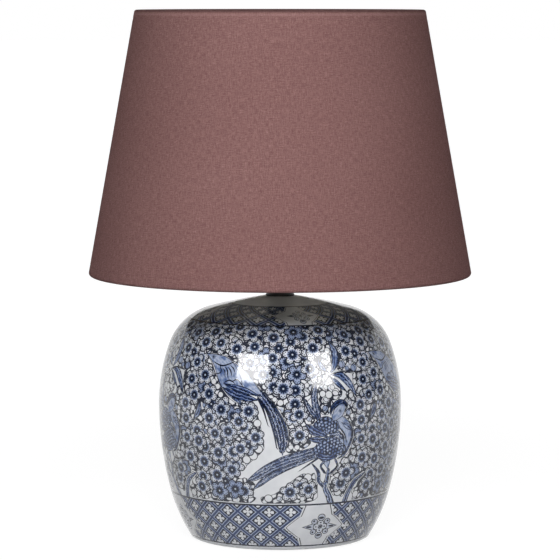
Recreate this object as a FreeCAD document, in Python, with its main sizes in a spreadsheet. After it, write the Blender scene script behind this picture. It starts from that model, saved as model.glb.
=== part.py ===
import FreeCAD, Part
import math
import os
import re

import Sketcher

# Ginger jar table lamp: a hollow porcelain jar on a foot ring, a clamping rod through it, a neck
# tube, an E27 lampholder with a shade ring, a tapered drum shade on a wire frame, and a bulb.
# Millimetres, +Z up. The origin is on the table, on the axis of the jar; +Y is the lamp's back.

os.makedirs("parts", exist_ok=True)
doc = FreeCAD.newDocument("ginger_jar_lamp")

DIMENSIONS = {
    # jar, outside: each point is where two arcs of the turned outline meet
    "foot_lift": 0.8,
    "jar_foot_radius": 82.6,
    "foot_edge_arc": 4.4,
    "jar_heel_radius": 85.9,
    "jar_heel_height": 4.0,
    "jar_low_arc": 156.6,
    "jar_low_radius": 103.8,
    "jar_low_height": 45.7,
    "jar_side_arc": 313.6,
    "jar_belly_radius": 114.55,
    "jar_belly_height": 127.0,
    "jar_high_arc": 169.1,
    "jar_high_radius": 104.4,
    "jar_high_height": 184.7,
    "jar_shoulder_arc": 53.0,
    "jar_crown_radius": 67.7,
    "jar_crown_height": 218.0,
    "jar_top_arc": 705.0,
    "jar_seat_radius": 15.0,
    "jar_seat_height": 229.3,
    # jar, inside: a wall of nearly even thickness, and a recess under the floor
    "jar_wall": 5.5,
    "jar_floor": 5.0,
    "cavity_floor_radius": 87.0,
    "recess_height": 16.0,
    "recess_mouth_radius": 76.0,
    "recess_roof_radius": 82.0,
    "rod_hole_radius": 5.6,
    # pad under the foot
    "pad_radius": 75.6,
    "pad_thickness": 2.0,
    # cord inlet at the back of the foot ring
    "inlet_height": 9.0,
    "inlet_hole_radius": 5.0,
    "inlet_bore_radius": 3.5,
    "inlet_lip_radius": 6.2,
    "inlet_lip": 1.6,
    "inlet_seat_depth": 85.2,
    "inlet_length": 9.0,
    "inlet_seat_radius": 6.5,
    # clamping rod and what it clamps
    "rod_radius": 5.0,
    "rod_bore_radius": 3.6,
    "rod_foot_height": 6.4,
    "rod_top_height": 269.3,
    "washer_hole_radius": 5.2,
    "rubber_washer_radius": 20.0,
    "rubber_washer": 2.0,
    "steel_washer_radius": 17.0,
    "steel_washer": 1.6,
    "nut_circumradius": 9.2,
    "base_nut": 5.0,
    "neck_nut": 3.0,
    # neck
    "gasket_radius": 13.4,
    "gasket": 1.0,
    "neck_radius": 13.0,
    "neck_wall": 1.2,
    "neck_length": 26.0,
    "neck_cap_radius": 13.8,
    "neck_cap": 2.5,
    # lampholder, heights above its own underside
    "holder_collar_radius": 8.5,
    "holder_collar": 8.0,
    "holder_cap_radius": 18.0,
    "holder_cap_wall": 1.5,
    "holder_cap_flare": 14.2,
    "holder_cap_height": 22.2,
    "holder_skirt_height": 16.2,
    "holder_skirt_radius": 19.7,
    "shoulder_height": 18.2,
    "shoulder": 2.5,
    "shoulder_radius": 23.5,
    "insert_height": 15.2,
    "insert_radius": 16.4,
    "insert_top": 27.2,
    "holder_mouth_radius": 15.6,
    "holder_height": 52.2,
    "thread_pitch": 2.5,
    "thread_depth": 0.6,
    "insert_pocket_radius": 6.0,
    "insert_pocket": 5.0,
    "terminal_spacing": 18.0,
    "terminal_radius": 1.5,
    "terminal_length": 6.0,
    "terminal_head_radius": 2.6,
    "terminal_head": 2.2,
    "grub_radius": 1.5,
    "screw_shell_radius": 14.3,
    "screw_shell_bore": 13.7,
    "screw_shell_height": 20.0,
    "screw_shell_floor": 0.6,
    "screw_shell_floor_hole": 8.0,
    "side_contact_width": 5.0,
    "side_contact_thick": 0.7,
    "side_contact_height": 9.0,
    # sprung contact in the bottom of the socket
    "contact_head_radius": 4.0,
    "contact_head": 1.0,
    "contact_stem_radius": 2.0,
    "contact_stem": 2.0,
    # bulb, heights above its own tip
    "running_gap": 0.3,
    "bulb_tip_radius": 4.75,
    "bulb_tip": 1.5,
    "bulb_insulator_radius": 11.6,
    "bulb_insulator_top": 5.0,
    "bulb_cap_root": 12.2,
    "bulb_cap_crest": 13.15,
    "bulb_cap_bore": 11.6,
    "bulb_pitch": 3.62,
    "bulb_cap_top": 25.6,
    "bulb_neck_radius": 14.2,
    "bulb_waist_radius": 27.5,
    "bulb_waist_height": 66.1,
    "bulb_body_arc": 90.0,
    "bulb_globe_radius": 30.0,
    "bulb_height": 108.1,
    "bulb_wall": 1.5,
    "led_plate_radius": 24.0,
    "led_plate": 1.6,
    # shade: two wire rings with the fabric drawn over them
    "wire_radius": 2.0,
    "fabric": 0.6,
    "liner": 0.4,
    "liner_setback": 2.6,
    "bottom_wire_radius": 177.4,
    "bottom_wire_height": 251.4,
    "top_wire_radius": 133.9,
    "top_wire_height": 495.0,
    "fitter_radius": 28.0,
    "fitter_hole_radius": 20.8,
    "fitter": 1.6,
    "arm_radius": 1.6,
    "arm_start_radius": 26.0,
    # ring that clamps the shade
    "clamp_bore_radius": 20.1,
    "clamp_radius": 24.6,
    "clamp_height": 8.0,
    "clamp_lip_radius": 23.4,
    "clamp_scallop": 1.1,
}
SCALLOPS = 24
HOLDER_THREADS = 10
BULB_THREADS = 4
SPIDER_ARMS = 3
TOP_WRAP_END = 185.0
BOTTOM_WRAP_END = -125.0

sizes = doc.addObject("Spreadsheet::Sheet", "Sizes")
for row, (alias, value) in enumerate(DIMENSIONS.items(), start=1):
    sizes.set(f"A{row}", alias)
    sizes.set(f"B{row}", str(value))
    sizes.setAlias(f"B{row}", alias)
doc.recompute()

# heights that several pieces share, each from the one below it
HOLDER = "(jar_seat_height + gasket + neck_length + neck_cap + neck_nut)"
SOCKET = f"({HOLDER} + insert_top)"
TIP = f"({SOCKET} - running_gap / 3)"
FITTER = f"({HOLDER} + shoulder_height + shoulder + running_gap)"
CLAMP = f"({FITTER} + fitter + running_gap)"
LEAN = "atan((bottom_wire_radius - top_wire_radius) / (top_wire_height - bottom_wire_height))"


def bound(text):
    """The expression with each dimension's name made a reference to its cell."""
    return re.sub(r"[a-z_]+", lambda m: "Sizes." + m[0] if m[0] in DIMENSIONS else m[0], str(text))


def amount(text):
    return float(sizes.evalExpression(bound(text)))


def bind(item, prop, text):
    item.setExpression(prop, bound(text))


def new_body(label):
    body = doc.addObject("PartDesign::Body", label)
    body.Label = label
    return body


def sketch_on(body, role, offset=None):
    """A sketch on one of the body's own origin planes, moved along its normal by offset."""
    sketch = body.newObject("Sketcher::SketchObject", body.Name + "_sketch")
    plane = next(part for part in body.Origin.OriginFeatures if part.Role == role)
    sketch.AttachmentSupport = (plane, [""])
    sketch.MapMode = "FlatFace"
    if offset is not None:
        bind(sketch, "AttachmentOffset.Base.z", offset)
    return sketch


def hold_point(sketch, edge, end, across, along):
    """Ties one end of an edge to its distances from the sketch's origin."""
    for kind, text, axis in (("DistanceX", across, -2), ("DistanceY", along, -1)):
        value = amount(text)
        if abs(value) < 1e-9:
            sketch.addConstraint(Sketcher.Constraint("PointOnObject", edge, end, axis))
            continue
        number = sketch.addConstraint(Sketcher.Constraint(kind, -1, 1, edge, end, value))
        bind(sketch, f"Constraints[{number}]", text)


def outline(sketch, corners, arcs):
    """Closed outline through corners of (radius, height). arcs gives, for the side that leaves a
    corner, its arc's radius, and +1 or -1 where it bows to the left or right of its way."""
    points = [FreeCAD.Vector(amount(x), amount(y), 0) for x, y in corners]
    count = len(points)
    starts = []
    for index, point in enumerate(points):
        after = points[(index + 1) % count]
        if index not in arcs:
            edge = sketch.addGeometry(Part.LineSegment(point, after))
            starts.append(1)
            continue
        radius_text, bow = arcs[index]
        radius = amount(radius_text)
        chord = after - point
        rise = radius - math.sqrt(max(radius**2 - chord.Length**2 / 4, 0))
        left = FreeCAD.Vector(-chord.y, chord.x, 0).normalize()
        middle = (point + after) / 2 + left * rise * bow
        edge = sketch.addGeometry(Part.Arc(point, middle, after))
        starts.append(1 if sketch.getPoint(edge, 1).distanceToPoint(point) < 1e-6 else 2)
        number = sketch.addConstraint(Sketcher.Constraint("Radius", edge, radius))
        bind(sketch, f"Constraints[{number}]", radius_text)
    for index, corner in enumerate(corners):
        before = (index - 1) % count
        join = (before, 3 - starts[before], index, starts[index])
        sketch.addConstraint(Sketcher.Constraint("Coincident", *join))
        hold_point(sketch, index, starts[index], *corner)


def turned(label, corners, arcs=None):
    """A piece turned about the Z axis from an outline of (radius, height) corners."""
    body = new_body(label)
    sketch = sketch_on(body, "XZ_Plane")
    outline(sketch, corners, arcs or {})
    turn = body.newObject("PartDesign::Revolution", label + "_turn")
    turn.Profile = sketch
    turn.ReferenceAxis = (sketch, ["V_Axis"])
    turn.Angle = 360.0
    return body


def ring(label, bore, radius, low, thick):
    """A plain ring: a washer, a tube or a flat disc with a hole."""
    high = f"{low} + {thick}"
    return turned(label, [(bore, low), (radius, low), (radius, high), (bore, high)])


def pocket(body, role, circles, depth, offset=None, reverse=False, both=False):
    """Round holes of (across, along, radius) cut into the body, with the volume compared."""
    doc.recompute()
    before = body.Shape.Volume
    sketch = sketch_on(body, role, offset)
    for across, along, radius in circles:
        centre = FreeCAD.Vector(amount(across), amount(along), 0)
        axis = FreeCAD.Vector(0, 0, 1)
        edge = sketch.addGeometry(Part.Circle(centre, axis, amount(radius)))
        number = sketch.addConstraint(Sketcher.Constraint("Radius", edge, amount(radius)))
        bind(sketch, f"Constraints[{number}]", radius)
        hold_point(sketch, edge, 3, across, along)
    cut = body.newObject("PartDesign::Pocket", body.Name + "_pocket")
    cut.Profile = sketch
    bind(cut, "Length", depth)
    cut.Reversed = reverse
    cut.Midplane = both
    doc.recompute()
    if not body.Shape.Volume < before - 0.01:
        raise RuntimeError(f"a hole in {body.Label} cut nothing")
    return cut


def place(item, across=0, back=0, up=0, turn=None):
    """Puts a finished piece at its place; turn is an axis and an angle."""
    if turn:
        item.Placement = FreeCAD.Placement(FreeCAD.Vector(), FreeCAD.Rotation(*turn))
    for name, text in (("x", across), ("y", back), ("z", up)):
        bind(item, f"Placement.Base.{name}", text)
    return item


def cylinder(name, radius, height):
    item = doc.addObject("Part::Cylinder", name)
    bind(item, "Radius", radius)
    bind(item, "Height", height)
    return item


def hex_nut(label, height, low):
    """A thin hexagon nut on the rod."""
    prism = doc.addObject("Part::Prism", label + "_prism")
    prism.Polygon = 6
    bind(prism, "Circumradius", "nut_circumradius")
    bind(prism, "Height", height)
    nut = doc.addObject("Part::Cut", label)
    nut.Base = prism
    nut.Tool = cylinder(label + "_bore", "rod_radius", height)
    nut.Label = label
    return place(nut, up=low)


def jar_body():
    """Slip-cast jar: outside, seat for the neck, cavity, floor, and the recess in the foot."""
    floor = "recess_height + jar_floor"
    corners = [
        ("recess_mouth_radius", "foot_lift"),
        ("jar_foot_radius", "foot_lift"),
        ("jar_heel_radius", "jar_heel_height"),
        ("jar_low_radius", "jar_low_height"),
        ("jar_belly_radius", "jar_belly_height"),
        ("jar_high_radius", "jar_high_height"),
        ("jar_crown_radius", "jar_crown_height"),
        ("jar_seat_radius", "jar_seat_height"),
        ("rod_hole_radius", "jar_seat_height"),
        ("rod_hole_radius", "jar_seat_height - jar_wall"),
        ("jar_crown_radius - jar_wall / 4", "jar_crown_height - jar_wall"),
        ("jar_high_radius - jar_wall", "jar_high_height - jar_wall / 3"),
        ("jar_belly_radius - jar_wall", "jar_belly_height"),
        ("jar_low_radius - jar_wall", "jar_low_height"),
        ("cavity_floor_radius", floor),
        ("rod_hole_radius", floor),
        ("rod_hole_radius", "recess_height"),
        ("recess_roof_radius", "recess_height"),
    ]
    outside = -1
    inside = 1
    arcs = {
        1: ("foot_edge_arc", outside),
        2: ("jar_low_arc", outside),
        3: ("jar_side_arc", outside),
        4: ("jar_high_arc", outside),
        5: ("jar_shoulder_arc", outside),
        6: ("jar_top_arc", outside),
        9: ("jar_top_arc - jar_wall", inside),
        10: ("jar_shoulder_arc - jar_wall", inside),
        11: ("jar_high_arc - jar_wall", inside),
        12: ("jar_side_arc - jar_wall", inside),
        13: ("jar_low_arc - jar_wall", inside),
    }
    jar = turned("jar_body", corners, arcs)
    hole = [(0, "inlet_height", "inlet_hole_radius")]
    seat = [(0, "inlet_height", "inlet_seat_radius")]
    pocket(jar, "XZ_Plane", hole, "jar_belly_radius")
    pocket(jar, "XZ_Plane", seat, "jar_wall * 4", offset="-inlet_seat_depth")


def cord_grommet():
    """Lipped bush in the back of the foot ring, turned about Z and then laid along +Y."""
    lip = "inlet_length + inlet_lip"
    corners = [
        ("inlet_bore_radius", 0),
        ("inlet_hole_radius", 0),
        ("inlet_hole_radius", "inlet_length"),
        ("inlet_lip_radius", "inlet_length"),
        ("inlet_lip_radius", lip),
        ("inlet_bore_radius", lip),
    ]
    grommet = turned("cord_grommet", corners)
    backwards = (FreeCAD.Vector(1, 0, 0), -90)
    place(grommet, 0, "inlet_seat_depth - inlet_length", "inlet_height", backwards)


def base_stack():
    """Pad, washers and nut under the jar's floor, and the hollow rod that they hold."""
    ring("base_rubber_washer", "washer_hole_radius", "rubber_washer_radius",
         "recess_height - rubber_washer", "rubber_washer")
    steel = "recess_height - rubber_washer - steel_washer"
    ring("base_steel_washer", "washer_hole_radius", "steel_washer_radius", steel, "steel_washer")
    hex_nut("base_lock_nut", "base_nut", f"{steel} - base_nut")
    ring("threaded_rod", "rod_bore_radius", "rod_radius",
         "rod_foot_height", "rod_top_height - rod_foot_height")
    pad = [(0, 0), ("pad_radius", 0), ("pad_radius", "pad_thickness"), (0, "pad_thickness")]
    turned("base_pad", pad)


def neck_stack():
    """Gasket, tube, cap and nut on the rod, between the jar and the lampholder."""
    tube = "jar_seat_height + gasket"
    cap = f"{tube} + neck_length"
    ring("neck_gasket", "washer_hole_radius", "gasket_radius", "jar_seat_height", "gasket")
    ring("neck_tube", "neck_radius - neck_wall", "neck_radius", tube, "neck_length")
    ring("neck_cap", "washer_hole_radius", "neck_cap_radius", cap, "neck_cap")
    hex_nut("neck_lock_nut", "neck_nut", f"{cap} + neck_cap")


def lampholder_cap():
    """Collar on the rod, flaring to a cup that the outer shell screws over."""
    flare = f"{HOLDER} + holder_cap_flare"
    throat = f"{HOLDER} + holder_collar + holder_cap_wall"
    inner = "holder_cap_radius - holder_cap_wall"
    corners = [
        ("rod_radius", HOLDER),
        ("holder_collar_radius", HOLDER),
        ("holder_collar_radius", f"{HOLDER} + holder_collar"),
        ("holder_cap_radius", flare),
        ("holder_cap_radius", f"{HOLDER} + holder_cap_height"),
        (inner, f"{HOLDER} + holder_cap_height"),
        (inner, f"{flare} + holder_cap_wall / 2"),
        ("holder_collar_radius - holder_cap_wall / 2", throat),
        ("rod_radius", throat),
    ]
    cap = turned("lampholder_cap", corners)
    screw_height = f"{HOLDER} + holder_collar / 2"
    screw_hole = [(0, screw_height, "grub_radius")]
    pocket(cap, "YZ_Plane", screw_hole, "holder_collar_radius + 1", reverse=True)
    grub = cylinder("holder_grub_screw", "grub_radius", "holder_collar_radius - rod_radius")
    grub.Label = "holder_grub_screw"
    place(grub, "rod_radius", 0, screw_height, (FreeCAD.Vector(0, 1, 0), 90))


def lampholder_insert():
    """Ceramic block with a pocket for the sprung contact, and its two terminal screws."""
    low = f"{HOLDER} + insert_height"
    corners = [
        (0, low),
        ("insert_radius", low),
        ("insert_radius", SOCKET),
        ("insert_pocket_radius", SOCKET),
        ("insert_pocket_radius", f"{SOCKET} - insert_pocket"),
        (0, f"{SOCKET} - insert_pocket"),
    ]
    insert = turned("lampholder_insert", corners)
    spots = [("terminal_spacing / 2", 0, "terminal_radius"),
             ("-terminal_spacing / 2", 0, "terminal_radius")]
    pocket(insert, "XY_Plane", spots, f"{low} + terminal_length", reverse=True)
    screws = []
    for side, sign in (("left", "-"), ("right", "")):
        shank = cylinder(f"terminal_shank_{side}", "terminal_radius", "terminal_length")
        head = cylinder(f"terminal_head_{side}", "terminal_head_radius", "terminal_head")
        across = f"{sign}terminal_spacing / 2"
        place(shank, across, 0, low)
        place(head, across, 0, f"{low} - terminal_head")
        screw = doc.addObject("Part::Fuse", f"terminal_screw_{side}")
        screw.Base = shank
        screw.Tool = head
        screws.append(screw)
    pair = doc.addObject("Part::Compound", "terminal_screws")
    pair.Label = "terminal_screws"
    pair.Links = screws


def socket_contacts():
    """Screw shell on the insert, the tongue beside it, and the sprung contact below the bulb."""
    floor = f"{SOCKET} + screw_shell_floor"
    rim = f"{SOCKET} + screw_shell_height"
    corners = [
        ("screw_shell_floor_hole", SOCKET),
        ("screw_shell_radius", SOCKET),
        ("screw_shell_radius", rim),
        ("screw_shell_bore", rim),
        ("screw_shell_bore", floor),
        ("screw_shell_floor_hole", floor),
    ]
    turned("socket_screw_shell", corners)
    tongue = doc.addObject("Part::Box", "side_contact")
    tongue.Label = "side_contact"
    bind(tongue, "Length", "side_contact_thick")
    bind(tongue, "Width", "side_contact_width")
    bind(tongue, "Height", "side_contact_height")
    place(tongue, "screw_shell_radius", "-side_contact_width / 2", SOCKET)
    head = f"{TIP} - running_gap - contact_head"
    corners = [
        (0, f"{head} - contact_stem"),
        ("contact_stem_radius", f"{head} - contact_stem"),
        ("contact_stem_radius", head),
        ("contact_head_radius", head),
        ("contact_head_radius", f"{head} + contact_head"),
        (0, f"{head} + contact_head"),
    ]
    turned("centre_contact", corners)


def lampholder_shell():
    """Outer shell: skirt over the cap, shoulder for the shade, and a threaded barrel."""
    cap_top = f"{HOLDER} + holder_cap_height"
    shoulder = f"{HOLDER} + shoulder_height"
    root = "holder_skirt_radius - thread_depth"
    thread = []
    for turn in range(HOLDER_THREADS):
        low = f"{HOLDER} + shoulder_height + shoulder + thread_pitch * {turn + 0.5}"
        thread.append(("holder_skirt_radius", low))
        thread.append((root, f"{low} + thread_pitch * 0.35"))
        thread.append(("holder_skirt_radius", f"{low} + thread_pitch * 0.7"))
    corners = [
        ("holder_cap_radius", f"{HOLDER} + holder_skirt_height"),
        ("holder_skirt_radius", f"{HOLDER} + holder_skirt_height"),
        ("holder_skirt_radius", shoulder),
        ("shoulder_radius", shoulder),
        ("shoulder_radius", f"{shoulder} + shoulder"),
        ("holder_skirt_radius", f"{shoulder} + shoulder"),
        *thread,
        ("holder_skirt_radius", f"{HOLDER} + holder_height"),
        ("holder_mouth_radius", f"{HOLDER} + holder_height"),
        ("holder_mouth_radius", SOCKET),
        ("insert_radius + 0.6", SOCKET),
        ("insert_radius + 0.6", cap_top),
        ("holder_cap_radius", cap_top),
    ]
    turned("lampholder_shell", corners)


def bulb():
    """Standard bulb: tip, insulator, screw cap with rounded rings for its thread, body, globe."""
    tip_top = f"{TIP} + bulb_tip"
    cap_foot = f"{TIP} + bulb_insulator_top"
    cap_top = f"{TIP} + bulb_cap_top"
    waist = f"({TIP} + bulb_waist_height)"
    centre = f"({TIP} + bulb_height - bulb_globe_radius)"
    tip = [(0, TIP), ("bulb_tip_radius - 1", TIP), ("bulb_tip_radius", tip_top), (0, tip_top)]
    turned("bulb_tip_contact", tip, {1: ("bulb_tip * 1.5", -1)})
    insulator = [(0, tip_top), ("bulb_tip_radius", tip_top),
                 ("bulb_insulator_radius", cap_foot), (0, cap_foot)]
    turned("bulb_insulator", insulator)

    corners = [("bulb_cap_bore", cap_foot), ("bulb_cap_root", cap_foot)]
    arcs = {}
    for turn in range(BULB_THREADS):
        low = f"{cap_foot} + bulb_pitch * {turn + 0.25}"
        arcs[len(corners)] = ("bulb_pitch * 0.42", -1)
        corners.append(("bulb_cap_root", low))
        corners.append(("bulb_cap_root", f"{low} + bulb_pitch * 0.75"))
    corners += [("bulb_cap_root", cap_top), ("bulb_cap_bore", cap_top)]
    turned("bulb_screw_cap", corners, arcs)

    inner = "bulb_waist_radius - bulb_wall"
    corners = [
        ("bulb_cap_bore", cap_top),
        ("bulb_neck_radius", cap_top),
        ("bulb_waist_radius", waist),
        (inner, waist),
        ("bulb_neck_radius - bulb_wall", f"{cap_top} + bulb_wall"),
        ("bulb_cap_bore", f"{cap_top} + bulb_wall"),
    ]
    arcs = {1: ("bulb_body_arc", -1), 3: ("bulb_body_arc", 1)}
    turned("bulb_housing", corners, arcs)

    led_low = f"{waist} - led_plate"
    turned("bulb_led_plate", [(0, led_low), ("led_plate_radius", led_low),
                              ("led_plate_radius", waist), (0, waist)])

    reach = f"sqrt(bulb_globe_radius ^ 2 - ({centre} - {waist}) ^ 2)"
    inner_ball = "(bulb_globe_radius - bulb_wall)"
    inner_reach = f"sqrt({inner_ball} ^ 2 - ({centre} - {waist}) ^ 2)"
    corners = [
        (reach, waist),
        ("bulb_globe_radius", centre),
        (0, f"{centre} + bulb_globe_radius"),
        (0, f"{centre} + {inner_ball}"),
        (inner_ball, centre),
        (inner_reach, waist),
    ]
    arcs = {
        0: ("bulb_globe_radius", -1),
        1: ("bulb_globe_radius", -1),
        3: (inner_ball, 1),
        4: (inner_ball, 1),
    }
    turned("bulb_globe", corners, arcs)


def around_wire(radius_text, height_text, distance, angle):
    """The point at a distance from a wire's centre, at an angle above the way outwards."""
    return (f"{radius_text} + ({distance}) * cos({angle})",
            f"{height_text} + ({distance}) * sin({angle})")


def shade_fabric():
    """Conical fabric wall, drawn over the top wire and under the bottom wire."""
    outer = "wire_radius + fabric"
    top = ("top_wire_radius", "top_wire_height")
    bottom = ("bottom_wire_radius", "bottom_wire_height")
    corners = [
        around_wire(*bottom, outer, LEAN),
        around_wire(*top, outer, LEAN),
        around_wire(*top, outer, TOP_WRAP_END),
        around_wire(*top, "wire_radius", TOP_WRAP_END),
        around_wire(*top, "wire_radius", LEAN),
        around_wire(*bottom, "wire_radius", LEAN),
        around_wire(*bottom, "wire_radius", BOTTOM_WRAP_END),
        around_wire(*bottom, outer, BOTTOM_WRAP_END),
    ]
    arcs = {1: (outer, -1), 3: ("wire_radius", 1), 5: ("wire_radius", 1), 7: (outer, -1)}
    turned("shade_fabric", corners, arcs)


def shade_liner():
    """Stiff lining on the inside of the fabric, between the two wires."""
    corners = []
    for along, depth in ((0, 0), (1, 0), (1, 1), (0, 1)):
        radius = "top_wire_radius" if along else "bottom_wire_radius"
        height = "top_wire_height" if along else "bottom_wire_height"
        setback = "-liner_setback" if along else "liner_setback"
        reach = "wire_radius - liner" if depth else "wire_radius"
        corners.append((
            f"{radius} + ({reach}) * cos({LEAN}) - ({setback}) * sin({LEAN})",
            f"{height} + ({reach}) * sin({LEAN}) + ({setback}) * cos({LEAN})",
        ))
    turned("shade_liner", corners)


def shade_frame():
    """Wire rings, the fitter that sits on the lampholder, and the arms between them."""
    for label, radius, height in (
        ("shade_top_ring", "top_wire_radius", "top_wire_height"),
        ("shade_bottom_ring", "bottom_wire_radius", "bottom_wire_height"),
    ):
        wire = doc.addObject("Part::Torus", label)
        wire.Label = label
        bind(wire, "Radius1", radius)
        bind(wire, "Radius2", "wire_radius")
        place(wire, up=height)
    ring("shade_fitter_ring", "fitter_hole_radius", "fitter_radius", FITTER, "fitter")

    start = amount(f"{FITTER} + fitter / 2")
    span = amount("bottom_wire_radius - arm_start_radius")
    drop = start - amount("bottom_wire_height")
    arms = []
    for number in range(SPIDER_ARMS):
        arm = cylinder(f"spider_arm_{number + 1}", "arm_radius", math.hypot(span, drop))
        turn = FreeCAD.Rotation(FreeCAD.Vector(0, 0, 1), 90 + number * 360 / SPIDER_ARMS)
        slope = FreeCAD.Rotation(FreeCAD.Vector(0, 1, 0), 90 + math.degrees(math.atan2(drop, span)))
        foot = turn.multVec(FreeCAD.Vector(amount("arm_start_radius"), 0, start))
        arm.Placement = FreeCAD.Placement(foot, turn * slope)
        arms.append(arm)
    group = doc.addObject("Part::Compound", "shade_spider_arms")
    group.Label = "shade_spider_arms"
    group.Links = arms


def shade_clamp_ring():
    """Scalloped ring that screws down the lampholder's thread onto the fitter."""
    top = f"{CLAMP} + clamp_height"
    corners = [
        ("clamp_bore_radius", CLAMP),
        ("clamp_radius", CLAMP),
        ("clamp_radius", f"{CLAMP} + clamp_height * 0.8"),
        ("clamp_lip_radius", top),
        ("clamp_bore_radius", top),
    ]
    clamp = turned("shade_clamp_ring", corners)
    spot = [("clamp_radius + clamp_scallop / 2", 0, "clamp_scallop")]
    cut = pocket(clamp, "XY_Plane", spot, f"({top}) * 2.2", both=True)
    pattern = clamp.newObject("PartDesign::PolarPattern", "scallops")
    pattern.Originals = [cut]
    pattern.Axis = (cut.Profile[0], ["N_Axis"])
    pattern.Angle = 360.0
    pattern.Occurrences = SCALLOPS
    clamp.Tip = pattern


for make in (jar_body, cord_grommet, base_stack, neck_stack, lampholder_cap, lampholder_insert,
             socket_contacts, lampholder_shell, bulb, shade_fabric, shade_liner, shade_frame,
             shade_clamp_ring):
    make()
doc.recompute()

PIECES = [
    "jar_body", "base_pad", "cord_grommet", "base_rubber_washer", "base_steel_washer",
    "base_lock_nut", "threaded_rod", "neck_gasket", "neck_tube", "neck_cap", "neck_lock_nut",
    "lampholder_cap", "holder_grub_screw", "lampholder_insert", "terminal_screws",
    "side_contact", "socket_screw_shell", "lampholder_shell", "centre_contact",
    "bulb_tip_contact", "bulb_insulator", "bulb_screw_cap", "bulb_housing", "bulb_led_plate",
    "bulb_globe", "shade_fabric", "shade_liner", "shade_top_ring", "shade_bottom_ring",
    "shade_spider_arms", "shade_fitter_ring", "shade_clamp_ring",
]

for item in doc.Objects:
    if "Invalid" in item.State or "Error" in item.State:
        raise RuntimeError(f"{item.Label} failed: {item.State}")
for label in PIECES:
    shape = doc.getObjectsByLabel(label)[0].Shape
    if shape.isNull() or not shape.isValid() or shape.Volume <= 0:
        raise RuntimeError(f"{label} has no valid shape")
for label in PIECES:
    shape = doc.getObjectsByLabel(label)[0].Shape
    shape.exportStep(f"parts/{label}.step")
    print(f"{label}: {shape.Volume / 1000:.2f} cm3, {len(shape.Solids)} solid(s)")
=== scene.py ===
import math

import bmesh
import bpy
import numpy as np
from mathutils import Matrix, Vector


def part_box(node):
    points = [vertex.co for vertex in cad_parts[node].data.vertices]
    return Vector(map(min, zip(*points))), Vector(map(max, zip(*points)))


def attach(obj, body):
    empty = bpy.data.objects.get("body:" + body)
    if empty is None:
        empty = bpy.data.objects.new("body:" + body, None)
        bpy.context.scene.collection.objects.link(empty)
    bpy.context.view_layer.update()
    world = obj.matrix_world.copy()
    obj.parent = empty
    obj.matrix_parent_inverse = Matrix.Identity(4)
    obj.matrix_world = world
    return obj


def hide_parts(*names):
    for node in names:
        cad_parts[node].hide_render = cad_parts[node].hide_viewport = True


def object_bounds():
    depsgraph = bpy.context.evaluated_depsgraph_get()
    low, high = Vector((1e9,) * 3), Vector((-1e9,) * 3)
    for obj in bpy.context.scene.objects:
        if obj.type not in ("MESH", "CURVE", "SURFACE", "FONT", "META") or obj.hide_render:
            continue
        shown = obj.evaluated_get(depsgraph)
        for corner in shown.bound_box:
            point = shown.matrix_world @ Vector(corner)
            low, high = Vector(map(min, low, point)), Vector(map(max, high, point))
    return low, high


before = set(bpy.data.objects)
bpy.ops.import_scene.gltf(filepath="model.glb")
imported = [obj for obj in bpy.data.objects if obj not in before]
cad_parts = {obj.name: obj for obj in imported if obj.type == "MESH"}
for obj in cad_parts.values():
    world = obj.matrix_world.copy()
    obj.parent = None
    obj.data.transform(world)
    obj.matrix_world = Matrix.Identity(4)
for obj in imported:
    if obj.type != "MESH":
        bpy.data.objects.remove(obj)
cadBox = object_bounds()
mm = 0.001
quarter = math.pi / 2
print("frame loaded:", len(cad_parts), "nodes")


def arithmetic(operation, reflected=False):
    # a method that adds one Math node and gives its result
    def method(self, other=0.0):
        first, second = (other, self) if reflected else (self, other)
        return self.owner.math(operation, first, second)
    return method


class Wire:
    # one socket of a node tree; sums of wires and numbers add Math nodes
    def __init__(self, owner, socket):
        self.owner = owner
        self.socket = socket

    __add__ = __radd__ = arithmetic("ADD")
    __mul__ = __rmul__ = arithmetic("MULTIPLY")
    __sub__ = arithmetic("SUBTRACT")
    __rsub__ = arithmetic("SUBTRACT", True)
    __truediv__ = arithmetic("DIVIDE")
    __rtruediv__ = arithmetic("DIVIDE", True)
    __pow__ = arithmetic("POWER")
    __abs__ = arithmetic("ABSOLUTE")
    least = arithmetic("MINIMUM")
    most = arithmetic("MAXIMUM")
    fraction = arithmetic("FRACT")
    floor = arithmetic("FLOOR")
    sine = arithmetic("SINE")
    cosine = arithmetic("COSINE")

    def rise(self, low, high):
        # 0 below low, 1 above high, and a smooth step between; high may be under low
        ends = {"Value": self, "From Min": low, "From Max": high}
        return self.owner.node("ShaderNodeMapRange", {"interpolation_type": "SMOOTHSTEP"}, ends)

    def line(self, place, width):
        # 1 where the value is near place, fading out at width
        return abs(self - place).rise(width, width * 0.55)


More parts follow.
